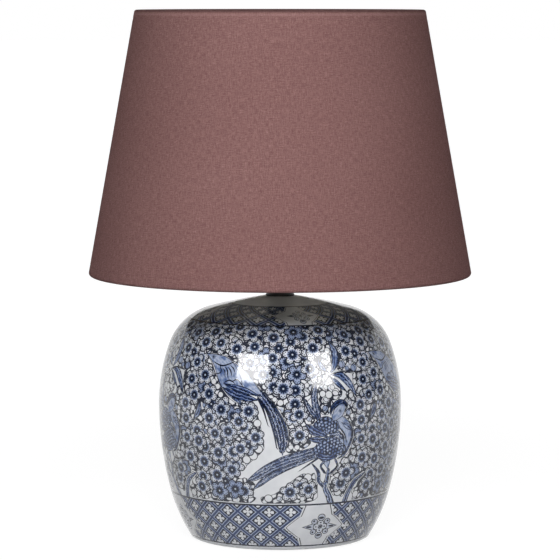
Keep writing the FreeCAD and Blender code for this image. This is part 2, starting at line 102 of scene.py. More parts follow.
class NodeMaker:
    # adds nodes to one node tree and wires them up
    def __init__(self, tree):
        self.tree = tree

    def first(self, kind):
        return next(node for node in self.tree.nodes if node.type == kind)

    def feed(self, node, inputs):
        for key, value in inputs.items():
            socket = node.inputs[key.replace("_", " ") if isinstance(key, str) else key]
            if isinstance(value, Wire):
                self.tree.links.new(value.socket, socket)
            elif isinstance(value, tuple) and len(value) == 3 and socket.type == "RGBA":
                socket.default_value = (*value, 1.0)
            else:
                socket.default_value = value

    def node(self, kind, settings=None, inputs=None, output=0):
        # adds a node: settings first, then values or links of its sockets
        node = self.tree.nodes.new(kind)
        for key, value in (settings or {}).items():
            if key == "stops":
                for _ in value[2:]:
                    node.color_ramp.elements.new(0.5)
                for element, (place, colour) in zip(node.color_ramp.elements, value):
                    element.position = place
                    element.color = (*colour, 1.0)
            else:
                setattr(node, key, value)
        self.feed(node, inputs or {})
        return None if output is None else Wire(self, node.outputs[output])

    def math(self, operation, first, second=0.0):
        return self.node("ShaderNodeMath", {"operation": operation}, {0: first, 1: second})

    def place(self):
        return self.node("ShaderNodeTexCoord", output="Object")

    def parts(self, vector):
        # the x, y and z of a vector
        split = self.node("ShaderNodeSeparateXYZ", inputs={0: vector})
        return [Wire(self, out) for out in split.socket.node.outputs]

    def stored(self, name):
        return self.parts(self.node("ShaderNodeAttribute", {"attribute_name": name}, output="Vector"))

    def rays(self):
        # what kind of ray asks: from the camera, off a gloss, and through something clear
        path = self.node("ShaderNodeLightPath").socket.node
        return [Wire(self, path.outputs[f"Is {kind} Ray"]) for kind in ("Camera", "Glossy", "Transmission")]

    def length(self, x, y):
        flat = self.node("ShaderNodeCombineXYZ", inputs={0: x, 1: y})
        return self.node("ShaderNodeVectorMath", {"operation": "LENGTH"}, {0: flat}, "Value")

    def stretched(self, vector, scale, turn=(0.0, 0.0, 0.0)):
        return self.node("ShaderNodeMapping", inputs={"Vector": vector, "Scale": scale, "Rotation": turn})

    def noise(self, vector, scale, detail=2.0, roughness=0.5):
        inputs = {"Vector": vector, "Scale": scale, "Detail": detail, "Roughness": roughness}
        return self.node("ShaderNodeTexNoise", inputs=inputs)

    def cells(self, vector, scale, feature="F1", output="Distance"):
        inputs = {"Vector": vector, "Scale": scale}
        return self.node("ShaderNodeTexVoronoi", {"feature": feature}, inputs, output)

    def colours(self, value, stops):
        return self.node("ShaderNodeValToRGB", {"stops": stops}, {0: value})

    def mix(self, amount, first, second, blend="MIX"):
        # second over first by amount
        settings = {"data_type": "RGBA", "blend_type": blend}
        return self.node("ShaderNodeMix", settings, {0: amount, 6: first, 7: second}, 2)

    def bump(self, height, depth, strength=1.0):
        inputs = {"Height": height, "Distance": depth, "Strength": strength}
        return self.node("ShaderNodeBump", inputs=inputs)


class Finish(NodeMaker):
    # a node material with one Principled shader
    def __init__(self, name, **plain):
        self.material = bpy.data.materials.new(name)
        self.material.use_nodes = True
        super().__init__(self.material.node_tree)
        self.shader = self.first("BSDF_PRINCIPLED")
        self.feed(self.shader, plain)

    def set(self, **inputs):
        self.feed(self.shader, inputs)
        return self


def paint(red, green, blue):
    # a colour as seen on screen, 0 to 255, made linear
    def linear(value):
        value /= 255
        return value / 12.92 if value <= 0.04045 else ((value + 0.055) / 1.055) ** 2.4
    return tuple(linear(v) for v in (red, green, blue))


def arcPoints(start, end, radius, step, bow=1):
    # points from start to end on an arc that bows to the right of its way, or left for bow -1
    a, b = np.array(start, float), np.array(end, float)
    chord = b - a
    span = np.hypot(*chord)
    side = bow * np.array([chord[1], -chord[0]]) / span
    centre = (a + b) / 2 - side * math.sqrt(max(radius**2 - span**2 / 4, 0))
    first, last = [math.atan2(*(p - centre)[::-1]) for p in (a, b)]
    sweep = (last - first + math.pi) % (2 * math.pi) - math.pi
    count = max(int(abs(sweep) * radius / step), 2)
    angles = first + sweep * np.linspace(0, 1, count + 1)
    return centre + radius * np.column_stack([np.cos(angles), np.sin(angles)])


def softened(corners, radius, steps=4, closed=True):
    # an outline whose corners are rounded: each becomes a quadratic curve between points on its sides
    points = np.array(corners, float)
    out = []
    for index, point in enumerate(points):
        if not closed and index in (0, len(points) - 1):
            out.append(point[None])
            continue
        before = points[index - 1] - point
        after = points[(index + 1) % len(points)] - point
        sides = [v * min(radius / np.hypot(*v), 0.45) for v in (before, after)]
        t = np.linspace(0, 1, steps + 1)[:, None]
        out.append(point + sides[0] * (1 - t) ** 2 + sides[1] * t**2)
    return np.vstack(out)


def spun(profile, columns, swell=None):
    # a profile of (radius, height) turned about Z, from the front towards the right;
    # swell(angles, profile) may add to the radius
    angles = np.linspace(0, 2 * math.pi, columns, endpoint=False)[None, :]
    radius = profile[:, :1] + (0 if swell is None else swell(angles, profile))
    height = np.broadcast_to(profile[:, 1:2], np.broadcast_shapes(radius.shape, angles.shape))
    return np.stack([radius * np.sin(angles), -radius * np.cos(angles), height], -1) * mm


def gridFaces(rows, columns, closedRows, closedColumns=True):
    # quads between neighbouring rows and columns, by their numbers in the grid
    r = np.arange(rows if closedRows else rows - 1)[:, None]
    c = np.arange(columns if closedColumns else columns - 1)[None, :]
    corners = [(r, c), (r, c + 1), (r + 1, c + 1), (r + 1, c)]
    return np.stack([(i % rows) * columns + j % columns for i, j in corners], -1).reshape(-1, 4)


def solid(name, grids, closedRows=True, sharp=40, closedColumns=True):
    # a closed mesh from one grid or several: doubles merged, faces outwards, smooth
    # but for edges sharper than the angle
    grids = grids if isinstance(grids, list) else [grids]
    points, faces, start = [], [], 0
    for grid in grids:
        points.append(grid.reshape(-1, 3))
        faces.append(gridFaces(*grid.shape[:2], closedRows, closedColumns) + start)
        start += len(points[-1])
    mesh = bpy.data.meshes.new(name)
    mesh.from_pydata(np.vstack(points).tolist(), [], np.vstack(faces).tolist())
    work = bmesh.new()
    work.from_mesh(mesh)
    bmesh.ops.remove_doubles(work, verts=work.verts, dist=2e-6)
    bmesh.ops.dissolve_degenerate(work, edges=work.edges, dist=1e-7)
    if work.calc_volume(signed=True) < 0:
        bmesh.ops.reverse_faces(work, faces=work.faces)
    work.to_mesh(mesh)
    work.free()
    mesh.shade_smooth()
    mesh.set_sharp_from_angle(angle=math.radians(sharp))
    piece = bpy.data.objects.new(name, mesh)
    bpy.context.scene.collection.objects.link(piece)
    return piece


def tube(path, radius, sides=12):
    # rings square to a path of points, closed to a point at both ends
    path = np.asarray(path, float)
    radius = np.broadcast_to(radius, len(path)).astype(float)
    way = np.gradient(path, axis=0)
    way /= np.linalg.norm(way, axis=1)[:, None]
    over = np.cross(way, (0.0, 0.0, 1.0))
    over /= np.linalg.norm(over, axis=1)[:, None]
    up = np.cross(over, way)
    angles = np.linspace(0, 2 * math.pi, sides, endpoint=False)
    ring = np.cos(angles)[:, None] * over[:, None, :] + np.sin(angles)[:, None] * up[:, None, :]
    grid = path[:, None, :] + radius[:, None, None] * ring
    ends = [np.repeat(path[i][None, None], sides, axis=1) for i in (0, -1)]
    return np.vstack([ends[0], grid, ends[1]]) * mm


def add(piece, finish, body, slot, *nodes):
    # gives a new piece its finish and its body, and hides the CAD nodes it stands for
    piece.data.materials.clear()
    piece.data.materials.append(finish.material)
    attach(piece, body)
    if nodes:
        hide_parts(*nodes)
    return piece


def dress(finish, *nodes):
    # gives CAD nodes their finish
    for name in nodes:
        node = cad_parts[name]
        node.data.materials.clear()
        node.data.materials.append(finish.material)


def span(node):
    # a turned node's widest radius, and its lowest and highest height, in mm
    low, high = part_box(node)
    return high.x / mm, low.z / mm, high.z / mm


jar = dict(
    bends=[(82.6, 0.8), (85.9, 4.0), (103.8, 45.7), (114.55, 127.0),
           (104.4, 184.7), (67.7, 218.0), (15.0, 229.3)],  # (radius, height) where two arcs meet
    arcs=[4.4, 156.6, 313.6, 169.1, 53.0, 705.0],  # their radii, from the foot up
    wall=5.5,
    floorTop=21.0,
    floorRadius=87.0,
    recessRoof=16.0,
    recessRadii=(76.0, 82.0),
    rodHole=5.6,
    inletHole=5.0,
    inletSeat=6.5,
    inletHeight=9.0,
    inletFrom=60.0,
    inletSeatDepth=85.2,
    inletTo=100.0,
    columns=480,
    step=1.85,
)

studio = dict(
    cameraPlace=(0.0, -2.830, 0.5125),
    cameraPitch=5.43,
    lens=193.7,
    # a lamp for each bright patch on the glaze: where it is mirrored (degrees round, mm along
    # the jar's side), how far off it stands, its width and height, and its power
    glints=[(-13.6, 180.5, 1.7, 0.92, 0.58, 25.0), (20.2, 179.0, 1.7, 0.68, 0.74, 20.5)],
    # the lamps that light everything: degrees to the right, degrees up, distance, size and power
    keys=[(-2.5, 26.0, 2.0, 0.6, 35.0), (143.0, 16.0, 2.0, 0.8, 11.0), (-143.0, 16.0, 2.0, 0.8, 11.0)],
    ambient=0.018,
    backLight=0.16,
    frontGloss=0.08,
    floorHalf=30.0,
    floorDrop=0.0004,
    floorGrey=(0.41, 0.45),
    floorGlow=(1.25, 1.34),  # near the lamp, and 2.5 m away from it
    floorShare=0.75,  # how much of the floor that is seen glows; the rest takes the shadow
)


def jarSide():
    # the outside of the jar from foot to neck: radius, height and length along the side, in mm
    runs = [arcPoints(a, b, r, jar["step"]) for a, b, r in
            zip(jar["bends"][:-1], jar["bends"][1:], jar["arcs"])]
    side = np.vstack([run[:-1] for run in runs] + [runs[-1][-1:]])
    along = np.concatenate([[0], np.cumsum(np.hypot(*np.diff(side, axis=0).T))])
    return side[:, 0], side[:, 1], along


sideRadius, sideHeight, sideLength = jarSide()


def jarPoint(degrees, along):
    # a point on the jar and the way its side faces there
    angle = math.radians(degrees)
    radius, height = [np.interp([along - 1, along, along + 1], sideLength, v)
                      for v in (sideRadius, sideHeight)]
    lean = math.atan2(radius[0] - radius[2], height[2] - height[0])
    out = np.array([math.sin(angle), -math.cos(angle), 0.0])
    point = out * radius[1] + np.array([0, 0, height[1]])
    return point * mm, out * math.cos(lean) + np.array([0, 0, math.sin(lean)])


def addLamp(name, place, target, width, height, power):
    light = bpy.data.lights.new(name, "AREA")
    light.shape = "RECTANGLE"
    light.size = width
    light.size_y = height
    light.energy = power
    lamp = bpy.data.objects.new(name, light)
    lamp.location = place
    lamp.visible_camera = False
    turn = Vector((target - place).tolist())
    lamp.rotation_euler = turn.to_track_quat("-Z", "Y").to_euler()
    bpy.context.scene.collection.objects.link(lamp)
    return lamp


def makeCamera():
    view = bpy.data.cameras.new("camera")
    view.lens = studio["lens"]
    view.sensor_width = 36.0
    camera = bpy.data.objects.new("camera", view)
    camera.location = studio["cameraPlace"]
    camera.rotation_euler = (math.radians(90 - studio["cameraPitch"]), 0, 0)
    bpy.context.scene.collection.objects.link(camera)
    bpy.context.scene.camera = camera
    bpy.context.scene.view_settings.view_transform = "Standard"


def makeLamps():
    # the glints stand where the glaze mirrors them to the camera and light nothing else;
    # the keys stand round the lamp at its middle height and are not mirrored
    for number, (degrees, along, far, width, height, power) in enumerate(studio["glints"]):
        point, out = jarPoint(degrees, along)
        toEye = np.array(studio["cameraPlace"]) - point
        toEye /= np.linalg.norm(toEye)
        mirrored = 2 * out.dot(toEye) * out - toEye
        lamp = addLamp(f"glint{number}", point + mirrored * far, point, width, height, power)
        lamp.visible_diffuse = False
    middle = np.array([0.0, 0.0, cadBox[1].z / 2])
    for number, (side, up, far, size, power) in enumerate(studio["keys"]):
        side, up = math.radians(side), math.radians(up)
        way = np.array([math.sin(side) * math.cos(up), -math.cos(side) * math.cos(up), math.sin(up)])
        lamp = addLamp(f"key{number}", middle + way * far, middle, size, size, power)
        lamp.visible_glossy = False


def makeWorld():
    # white where it is seen, mirrored white only at the back, and a faint light, more from the back
    world = bpy.data.worlds.new("studio")
    bpy.context.scene.world = world
    world.use_nodes = True
    world.node_tree.nodes.clear()
    room = NodeMaker(world.node_tree)
    seen, gloss, through = room.rays()
    _, back, _ = room.parts(room.node("ShaderNodeTexCoord", output="Generated"))
    mirrored = back.rise(0.1, 0.95) * (1 - studio["frontGloss"]) + studio["frontGloss"]
    around = back.rise(-0.1, 0.8) * studio["backLight"] + studio["ambient"]
    level = (around * (1 - gloss) + gloss * mirrored).most(seen).most(through)
    glow = room.node("ShaderNodeBackground", inputs={"Color": (1.0, 1.0, 1.0), "Strength": level})
    room.node("ShaderNodeOutputWorld", inputs={"Surface": glow}, output=None)


def makeFloor():
    # a grey sheet that glows white to the camera, and to the glaze but for the part far in front
    size, drop = studio["floorHalf"], studio["floorDrop"]
    mesh = bpy.data.meshes.new("floor")
    corners = [(-size, -size, -drop), (size, -size, -drop), (size, size, -drop), (-size, size, -drop)]
    mesh.from_pydata(corners, [], [(0, 1, 2, 3)])
    floor = bpy.data.objects.new("floor", mesh)
    bpy.context.scene.collection.objects.link(floor)
    paper = Finish("floorPaper", Roughness=0.9, Specular_IOR_Level=0.2)
    greys = [(k, (grey,) * 3) for k, grey in enumerate(studio["floorGrey"])]
    paper.set(Base_Color=paper.colours(paper.noise(paper.place(), 60.0), greys))
    x, y, _ = paper.parts(paper.place())
    seen, gloss, through = paper.rays()
    seen = seen.most(through).most(gloss * y.rise(-1.1, -0.3))
    near, far = studio["floorGlow"]
    strength = paper.length(x, y).rise(0.5, 2.5) * (far - near) + near
    glow = paper.node("ShaderNodeEmission", inputs={"Strength": strength})
    own = Wire(paper, paper.shader.outputs[0])
    blend = paper.node("ShaderNodeMixShader", inputs={0: seen * studio["floorShare"], 1: own, 2: glow})
    paper.feed(paper.first("OUTPUT_MATERIAL"), {"Surface": blend})
    mesh.materials.append(paper.material)


makeCamera()
makeLamps()
makeWorld()
makeFloor()
print("camera, lamps, world and floor made")


# The print comes round four times. Places on it are in mm: around from the middle of its repeat,
# measured where the jar is widest, and up along the jar's side. A stroke is a list of
# (around, up, half its width), drawn as a smooth ribbon, and the later ones lie over the earlier.
widest = jar["bends"][3][0]
repeatWidth = 180.0
fieldStep = 1.5  # of the grid on which distances are kept
farAway = 99.0

# strength of the wash, the streaks and the scales (below 0: barbs), and the white gap beside the stroke
styles = dict(
    pale=(0.36, 0.16, 0.0, 0.6),
    feather=(0.62, 0.70, -0.8, 0.6),
    tail=(0.86, 1.10, -1.0, 0.6),
    wing=(1.00, 0.90, 0.0, 0.5),
    scaled=(0.72, 0.0, 1.0, 0.3),
    crest=(1.10, 0.60, -1.0, 0.3),
    bark=(0.80, 0.90, 0.0, 1.4),
    leaf=(0.66, 0.60, 0.0, 0.6),
    line=(1.0, 1.0, 0.0, 1.0),
)

songBird = [
    ("tail", [(-28, 163, 2.5), (-16, 152, 4.2), (-7, 140, 5.2), (-1, 126, 5.6), (2, 113, 5), (2, 104, 3)]),
    ("line", [(-24, 158, 1.0), (-16, 143, 1.0), (-11, 127, 0.3)]),
    ("line", [(-20, 152, 0.8), (-12, 140, 1.0), (-6, 122, 0.9), (-3, 106, 0.5)]),
    ("line", [(-14, 154, 0.6), (-3, 141, 1.2), (5, 126, 1.1), (8, 112, 0.6)]),
    ("pale", [(-45, 180, 3), (-38, 171, 7), (-30, 164, 6), (-20, 157, 2.5)]),
    ("pale", [(-79, 190, 0.4), (-68, 186, 4.6), (-57, 179, 9.8), (-48, 167, 11), (-42, 156, 7.5),
              (-38, 147, 1)]),
    ("leaf", [(-46, 156, 2), (-41, 152, 4), (-37, 147, 1.2)]),
    ("wing", [(-54, 159, 1.0), (-44, 155, 3.4), (-32, 152, 3.6), (-21, 150, 0.8)]),
    ("wing", [(-53, 163, 0.8), (-44, 161, 2.6), (-32, 158, 2.8), (-20, 154, 0.8)]),
    ("line", [(-54, 165, 0.3), (-49, 167, 0.7), (-44, 165, 0.3)]),
    ("line", [(-46, 166, 0.3), (-41, 168, 0.7), (-36, 163, 0.3)]),
    ("line", [(-69, 183, 0.3), (-58, 180, 0.7), (-46, 184, 0.5)]),
    ("line", [(-61, 181, 0.3), (-59, 174, 0.6), (-65, 172, 0.3)]),
    ("line", [(-58, 178, 0.2), (-55, 175, 0.6), (-54, 170, 0.2)]),
    ("line", [(-55, 179, 0.2), (-52, 175, 0.7), (-51, 169, 0.2)]),
    ("line", [(-52, 179, 0.2), (-49, 176, 0.7), (-47, 171, 0.2)]),
    ("line", [(-49, 180, 0.2), (-46, 178, 0.6), (-44, 174, 0.2)]),
]

crestedBird = [
    ("feather", [(34, 164, 1.5), (32, 152, 3), (34, 140, 3.4), (37, 130, 1.5)]),
    ("feather", [(23, 150, 0.8), (28, 141, 2.4), (36, 131, 1.5)]),
    ("feather", [(36, 99, 2.4), (20, 93, 2.8), (4, 86.5, 3), (-10, 79, 3.2), (-19, 72, 2.6),
                 (-25, 67, 0.8)]),
    ("feather", [(37, 104, 3.2), (22, 99.5, 4.4), (4, 93.5, 5), (-12, 85.5, 4.8), (-24, 78, 3.4),
                 (-32, 74, 0.8)]),
    ("line", [(38, 97, 0.9), (27, 90, 0.8), (18, 84, 0.3)]),
    ("pale", [(43, 96, 4), (45, 91, 3.4), (46, 86, 0.8)]),
    ("line", [(42, 92, 1.2), (39, 88, 1.0), (43, 82, 1.2)]),
    ("line", [(54, 93, 1.2), (56, 87, 1.0), (50, 81, 1.4)]),
    ("pale", [(54, 131, 6), (62, 122, 7.5), (64, 112, 7), (60, 103, 6)]),
    ("feather", [(34, 115, 3), (44, 116, 6), (54, 116, 5), (60, 114, 2)]),
    ("scaled", [(34, 103, 4), (41, 105, 9.5), (51, 104.5, 10.5), (59, 103, 5.5)]),
    ("scaled", [(38, 124, 8), (43, 125.5, 9), (50, 125, 6.5)]),
    ("wing", [(26, 126, 1.5), (31, 122, 4.6), (38, 119, 3.6), (44, 116, 1)]),
    ("wing", [(27, 114, 1), (34, 113, 3), (42, 113, 0.8)]),
    ("wing", [(36, 98, 2), (43, 96, 4), (53, 96, 1.5)]),
    ("line", [(68, 127, 0.4), (71, 118, 1.2), (69, 108, 1.3), (63, 98, 1.2), (56, 94, 0.5)]),
    ("line", [(57, 119, 0.3), (61, 115, 0.8), (62, 107, 0.3)]),
    ("line", [(56, 124, 0.3), (62, 117, 0.8), (65, 109, 0.3)]),
    ("leaf", [(60, 127, 0.5), (65, 124, 2.6), (72, 119, 0.4)]),
    ("pale", [(52, 133, 3.6), (55.5, 137, 5.6), (59, 141, 4.4)]),
    ("crest", [(47.5, 136, 0.6), (50, 142.5, 2.2), (56, 146.5, 2.6), (62, 146, 1.8), (65, 141, 0.5)]),
    ("line", [(51, 144, 1.0), (49, 149, 0.3)]),
    ("line", [(56, 147, 1.0), (57, 152, 0.3)]),
    ("line", [(61, 147, 1.0), (65, 151, 0.3)]),
]

tree = [
    ("bark", [(69, 50, 3.2), (72, 60, 2.8), (78, 70, 2.6), (89, 77, 1.2)]),
    ("bark", [(46, 66, 1.8), (38, 74, 1.9), (37, 82, 1.7), (31, 90, 0.7)]),
    ("bark", [(54, 49, 3.8), (50, 58, 3.1), (45, 67, 2.6), (46, 75, 2.2), (47, 84, 1.6)]),
    ("leaf", [(49, 173, 0.4), (55, 181, 3.2), (57, 193, 3.4), (53, 203, 0.5)]),
    ("leaf", [(50, 172, 0.4), (60, 171, 3.4), (69, 163, 3.6), (76, 151, 0.4)]),
    ("leaf", [(48, 171, 0.4), (56, 164, 2.2), (66, 155, 0.4)]),
    ("leaf", [(48, 174, 0.4), (41, 180, 2.4), (38, 188, 0.4)]),
    ("leaf", [(-88, 128, 0.4), (-82, 136, 3), (-80, 146, 0.4)]),
    ("line", [(75, 172, 0.3), (62, 174, 0.6), (50, 172, 0.7), (42, 165, 0.5), (35, 163, 0.3)]),
]

bareWays = [  # where the white shows: (around, up, half its width)
    [(-22, 147, 1), (-16, 134, 2), (-12, 120, 3), (-9, 106, 4), (-13, 98, 4), (-26, 89, 2), (-38, 79, 1.5)],
    [(-24, 62, 2), (-8, 66, 3), (8, 77, 2.4), (20, 85, 2.4), (29, 84, 2)],
    [(41, 76, 2), (43, 64, 4), (50, 52, 6), (60, 54, 3)],
    [(66, 52, 3), (76, 56, 2)],
]

eyes = [(-70, 187.5, 1.9), (57.5, 138.5, 1.6)]

printing = dict(
    lowBand=(5.8, 50.7),
    highBand=(222.7, 264.4),
    rhombus=(19.0, 18.0),
    lowRhombi=(32, 34.5),  # how many stand round the jar, and how far up one of their rows is
    highRhombi=(24, 231.4),
    lowPanel=(19.85, 27.2),  # degrees round and mm up of a white panel's middle
    highPanel=(12.6, 239.0),
    medallionShift=4.5,
    blossomRadius=(9.0, 10.2),
    blossomGaps=(12.5, 17.0, 15.0, 13.5),  # the first lot lies under the others
    budRadius=(2.4, 3.9),
    budGap=5.3,
    edgeBudRadius=(3.6, 4.6),
    edgeBudGap=7.4,
    blossomLayers=4,
    budLayers=3,
    strokeLayers=3,
    seed=11,
    # the glaze over it, from darker to paler spots, then blue wash by strength, ink and bare clay
    white=[(0.3, paint(219, 221, 226)), (0.7, paint(229, 231, 235))],
    washes=[(0.0, paint(255, 255, 255)), (0.35, paint(172, 186, 216)),
            (0.7, paint(98, 122, 170)), (1.0, paint(48, 70, 122))],
    navy=(paint(9, 12, 24), paint(23, 31, 56)),
    clay=[(0.0, paint(206, 202, 194)), (1.0, paint(226, 223, 216))],
)


def wrapped(angle, period):
    return (angle + period / 2) % period - period / 2


def smoothPath(points, step=0.7):
    # a Catmull-Rom curve through the points, each column of them alike
    p = np.array(points, float)
    p = np.vstack([2 * p[0] - p[1], p, 2 * p[-1] - p[-2]])
    out = []
    for a, b, c, d in zip(p[:-3], p[1:-2], p[2:-1], p[3:]):
        t = np.linspace(0, 1, max(int(np.hypot(*(c - b)[:2]) / step), 3), endpoint=False)[:, None]
        out.append(b + t * (c - a) / 2 + t**2 * (a - 2.5 * b + 2 * c - d / 2)
                   + t**3 * (1.5 * b - 1.5 * c + d / 2 - a / 2))
    out.append(p[-2][None])
    path = np.vstack(out)
    path[:, 2] = np.maximum(path[:, 2], 0.2)
    return path


def radiusAt(along):
    return np.interp(along, sideLength, sideRadius)


strokes = [(style, smoothPath(points)) for style, points in tree + songBird + crestedBird]
bare = [(smoothPath(way), 0.0) for way in bareWays]
spared = [(path, styles[style][3]) for style, path in strokes] + bare


def distanceField(ways):
    # how far each spot of one repeat is from the ways' edges and the white gaps beside them, on a grid
    around = np.arange(-repeatWidth / 2, repeatWidth / 2 + fieldStep / 3, fieldStep)
    up = np.arange(0.0, sideLength[-1], fieldStep)
    spots = np.stack(np.meshgrid(around, up, indexing="ij"), -1)
    field = np.full(spots.shape[:2], farAway)
    for path, gap in ways:
        for x, y, half in path[::2]:
            off = np.hypot(wrapped(spots[..., 0] - x, repeatWidth), spots[..., 1] - y)
            field = np.minimum(field, off - half - gap)
    return around, up, field


fieldAround, fieldUp, strokeField = distanceField(spared)
bareField = distanceField(bare)[2]


def fieldAt(field, around, up):
    # the field's value, between the four grid spots nearest
    i = np.clip((wrapped(around, repeatWidth) + repeatWidth / 2) / fieldStep, 0, len(fieldAround) - 1.001)
    j = np.clip(up / fieldStep, 0, len(fieldUp) - 1.001)
    i0, j0 = i.astype(int), j.astype(int)
    fi, fj = i - i0, j - j0
    return ((field[i0, j0] * (1 - fi) + field[i0 + 1, j0] * fi) * (1 - fj)
            + (field[i0, j0 + 1] * (1 - fi) + field[i0 + 1, j0 + 1] * fi) * fj)


def scatter(random, tries, radii, gap, low, high, clear, taken=(), keep=(), edge=farAway):
    # throws discs on one repeat, keeping those clear of the strokes, a gap apart from each other and
    # from the earlier ones of their kind, off those taken and no further than edge from a bare way;
    # each is (angle, up, radius, turn, tone)
    kept = list(keep)
    for _ in range(tries):
        angle = random.uniform(-quarter / 2, quarter / 2)
        up = random.uniform(low, high)
        radius = random.uniform(*radii)
        turn = random.uniform(0, 2 * math.pi)
        tone = random.uniform(0, 1)
        spot = np.array([angle * widest]), np.array([up])
        if fieldAt(strokeField, *spot)[0] < radius * clear or fieldAt(bareField, *spot)[0] > edge:
            continue
        near = [math.hypot(wrapped(angle - k[0], quarter) * radiusAt(up), up - k[1]) - far
                for k, far in [(k, gap) for k in kept] + [(k, k[2] + radius * 0.4) for k in taken]]
        if not near or min(near) > 0:
            kept.append((angle, up, radius, turn, tone))
    return kept[len(keep):]


def scatterMotifs():
    # blossoms in two lots, the second over the first, then buds along the bare ways and in the gaps
    dice = np.random.default_rng(printing["seed"])
    low, high = printing["lowBand"][1], printing["highBand"][0]
    radii, gaps = printing["blossomRadius"], printing["blossomGaps"]
    lower = scatter(dice, 2500, radii, gaps[0], low + 12, high + 3, 0.8)
    upper = []
    for gap in gaps[1:]:
        upper += scatter(dice, 2500, radii, gap, low + 12, high + 3, 0.8, keep=upper)
    radii = printing["edgeBudRadius"]
    edgeBuds = scatter(dice, 5000, radii, printing["edgeBudGap"], low + 6, high + 2, 0.95, upper,
                       edge=radii[1] * 1.3)
    buds = scatter(dice, 6000, printing["budRadius"], printing["budGap"], low + 6, high + 2, 0.9, upper,
                   edgeBuds)
    return lower + upper, edgeBuds + buds


blossoms, buds = scatterMotifs()
print(len(blossoms), "blossoms and", len(buds), "buds in each repeat")


def jarOutline():
    # the closed outline: outside, rod hole, cavity of arcs within the wall, floor, and recess in the foot
    wall, bends, arcs = jar["wall"], jar["bends"], jar["arcs"]
    rod, top = jar["rodHole"], bends[-1][1]
    edge = softened([(jar["recessRadii"][0], bends[0][1]), bends[0]], 0.1, 1, False)[:-1]
    floorEnd = (jar["floorRadius"], jar["floorTop"])
    shoulder = (bends[5][0] - wall / 4, bends[5][1] - wall)
    inner = [shoulder, (bends[4][0] - wall, bends[4][1] - wall / 3), (bends[3][0] - wall, bends[3][1]),
             (bends[2][0] - wall, bends[2][1]), floorEnd]
    start = (rod, top - wall)
    cavity = []
    for end, arc in zip(inner, arcs[:0:-1]):
        cavity.append(arcPoints(start, end, arc - wall, jar["step"] * 8, -1)[:-1])
        start = end
    bottom = [floorEnd, (rod, jar["floorTop"]), (rod, jar["recessRoof"]),
              (jar["recessRadii"][1], jar["recessRoof"])]
    outside = np.column_stack([sideRadius, sideHeight])
    return np.vstack([edge, outside, [(rod, top)], *cavity, bottom])


def inletCutter(radius, near, far):
    # a round bar along +Y through the back of the foot, from near to far
    angles = np.linspace(0, 2 * math.pi, 48, endpoint=False)
    rings = []
    for y, wide in ((near, 0), (near, radius), (far, radius), (far, 0)):
        height = np.sin(angles) * wide + jar["inletHeight"]
        rings.append(np.stack([np.cos(angles) * wide, np.full(48, y), height], -1))
    return solid("inletCutter", np.array(rings) * mm, closedRows=False)


def jarMesh():
    # the outline turned about Z, with the two bores of the cord inlet cut out
    piece = solid("glazed_jar", spun(jarOutline(), jar["columns"]), sharp=50)
    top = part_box("jar_body")[1].z
    assert abs(jar["bends"][-1][1] * mm - top) < 1e-4
    bores = [(jar["inletHole"], jar["inletFrom"]), (jar["inletSeat"], jar["inletSeatDepth"])]
    for radius, near in bores:
        cutter = inletCutter(radius, near, jar["inletTo"])
        cut = piece.modifiers.new("inlet", "BOOLEAN")
        cut.operation = "DIFFERENCE"
        cut.solver = "MANIFOLD"
        cut.object = cutter
        seen = piece.evaluated_get(bpy.context.evaluated_depsgraph_get())
        whole = bpy.data.meshes.new_from_object(seen)
        piece.modifiers.clear()
        piece.data = whole
        bpy.data.objects.remove(cutter)
    piece.data.name = "glazed_jar"
    piece.data.shade_smooth()
    piece.data.set_sharp_from_angle(angle=math.radians(50))
    return piece


def faceCorners(mesh):
    # the place of every corner of every face in metres, its face's number, and how many each face has
    points = np.empty(len(mesh.vertices) * 3)
    mesh.vertices.foreach_get("co", points)
    corner = np.empty(len(mesh.loops), int)
    mesh.loops.foreach_get("vertex_index", corner)
    count = np.empty(len(mesh.polygons), int)
    mesh.polygons.foreach_get("loop_total", count)
    return points.reshape(-1, 3)[corner], np.repeat(np.arange(len(count)), count), count


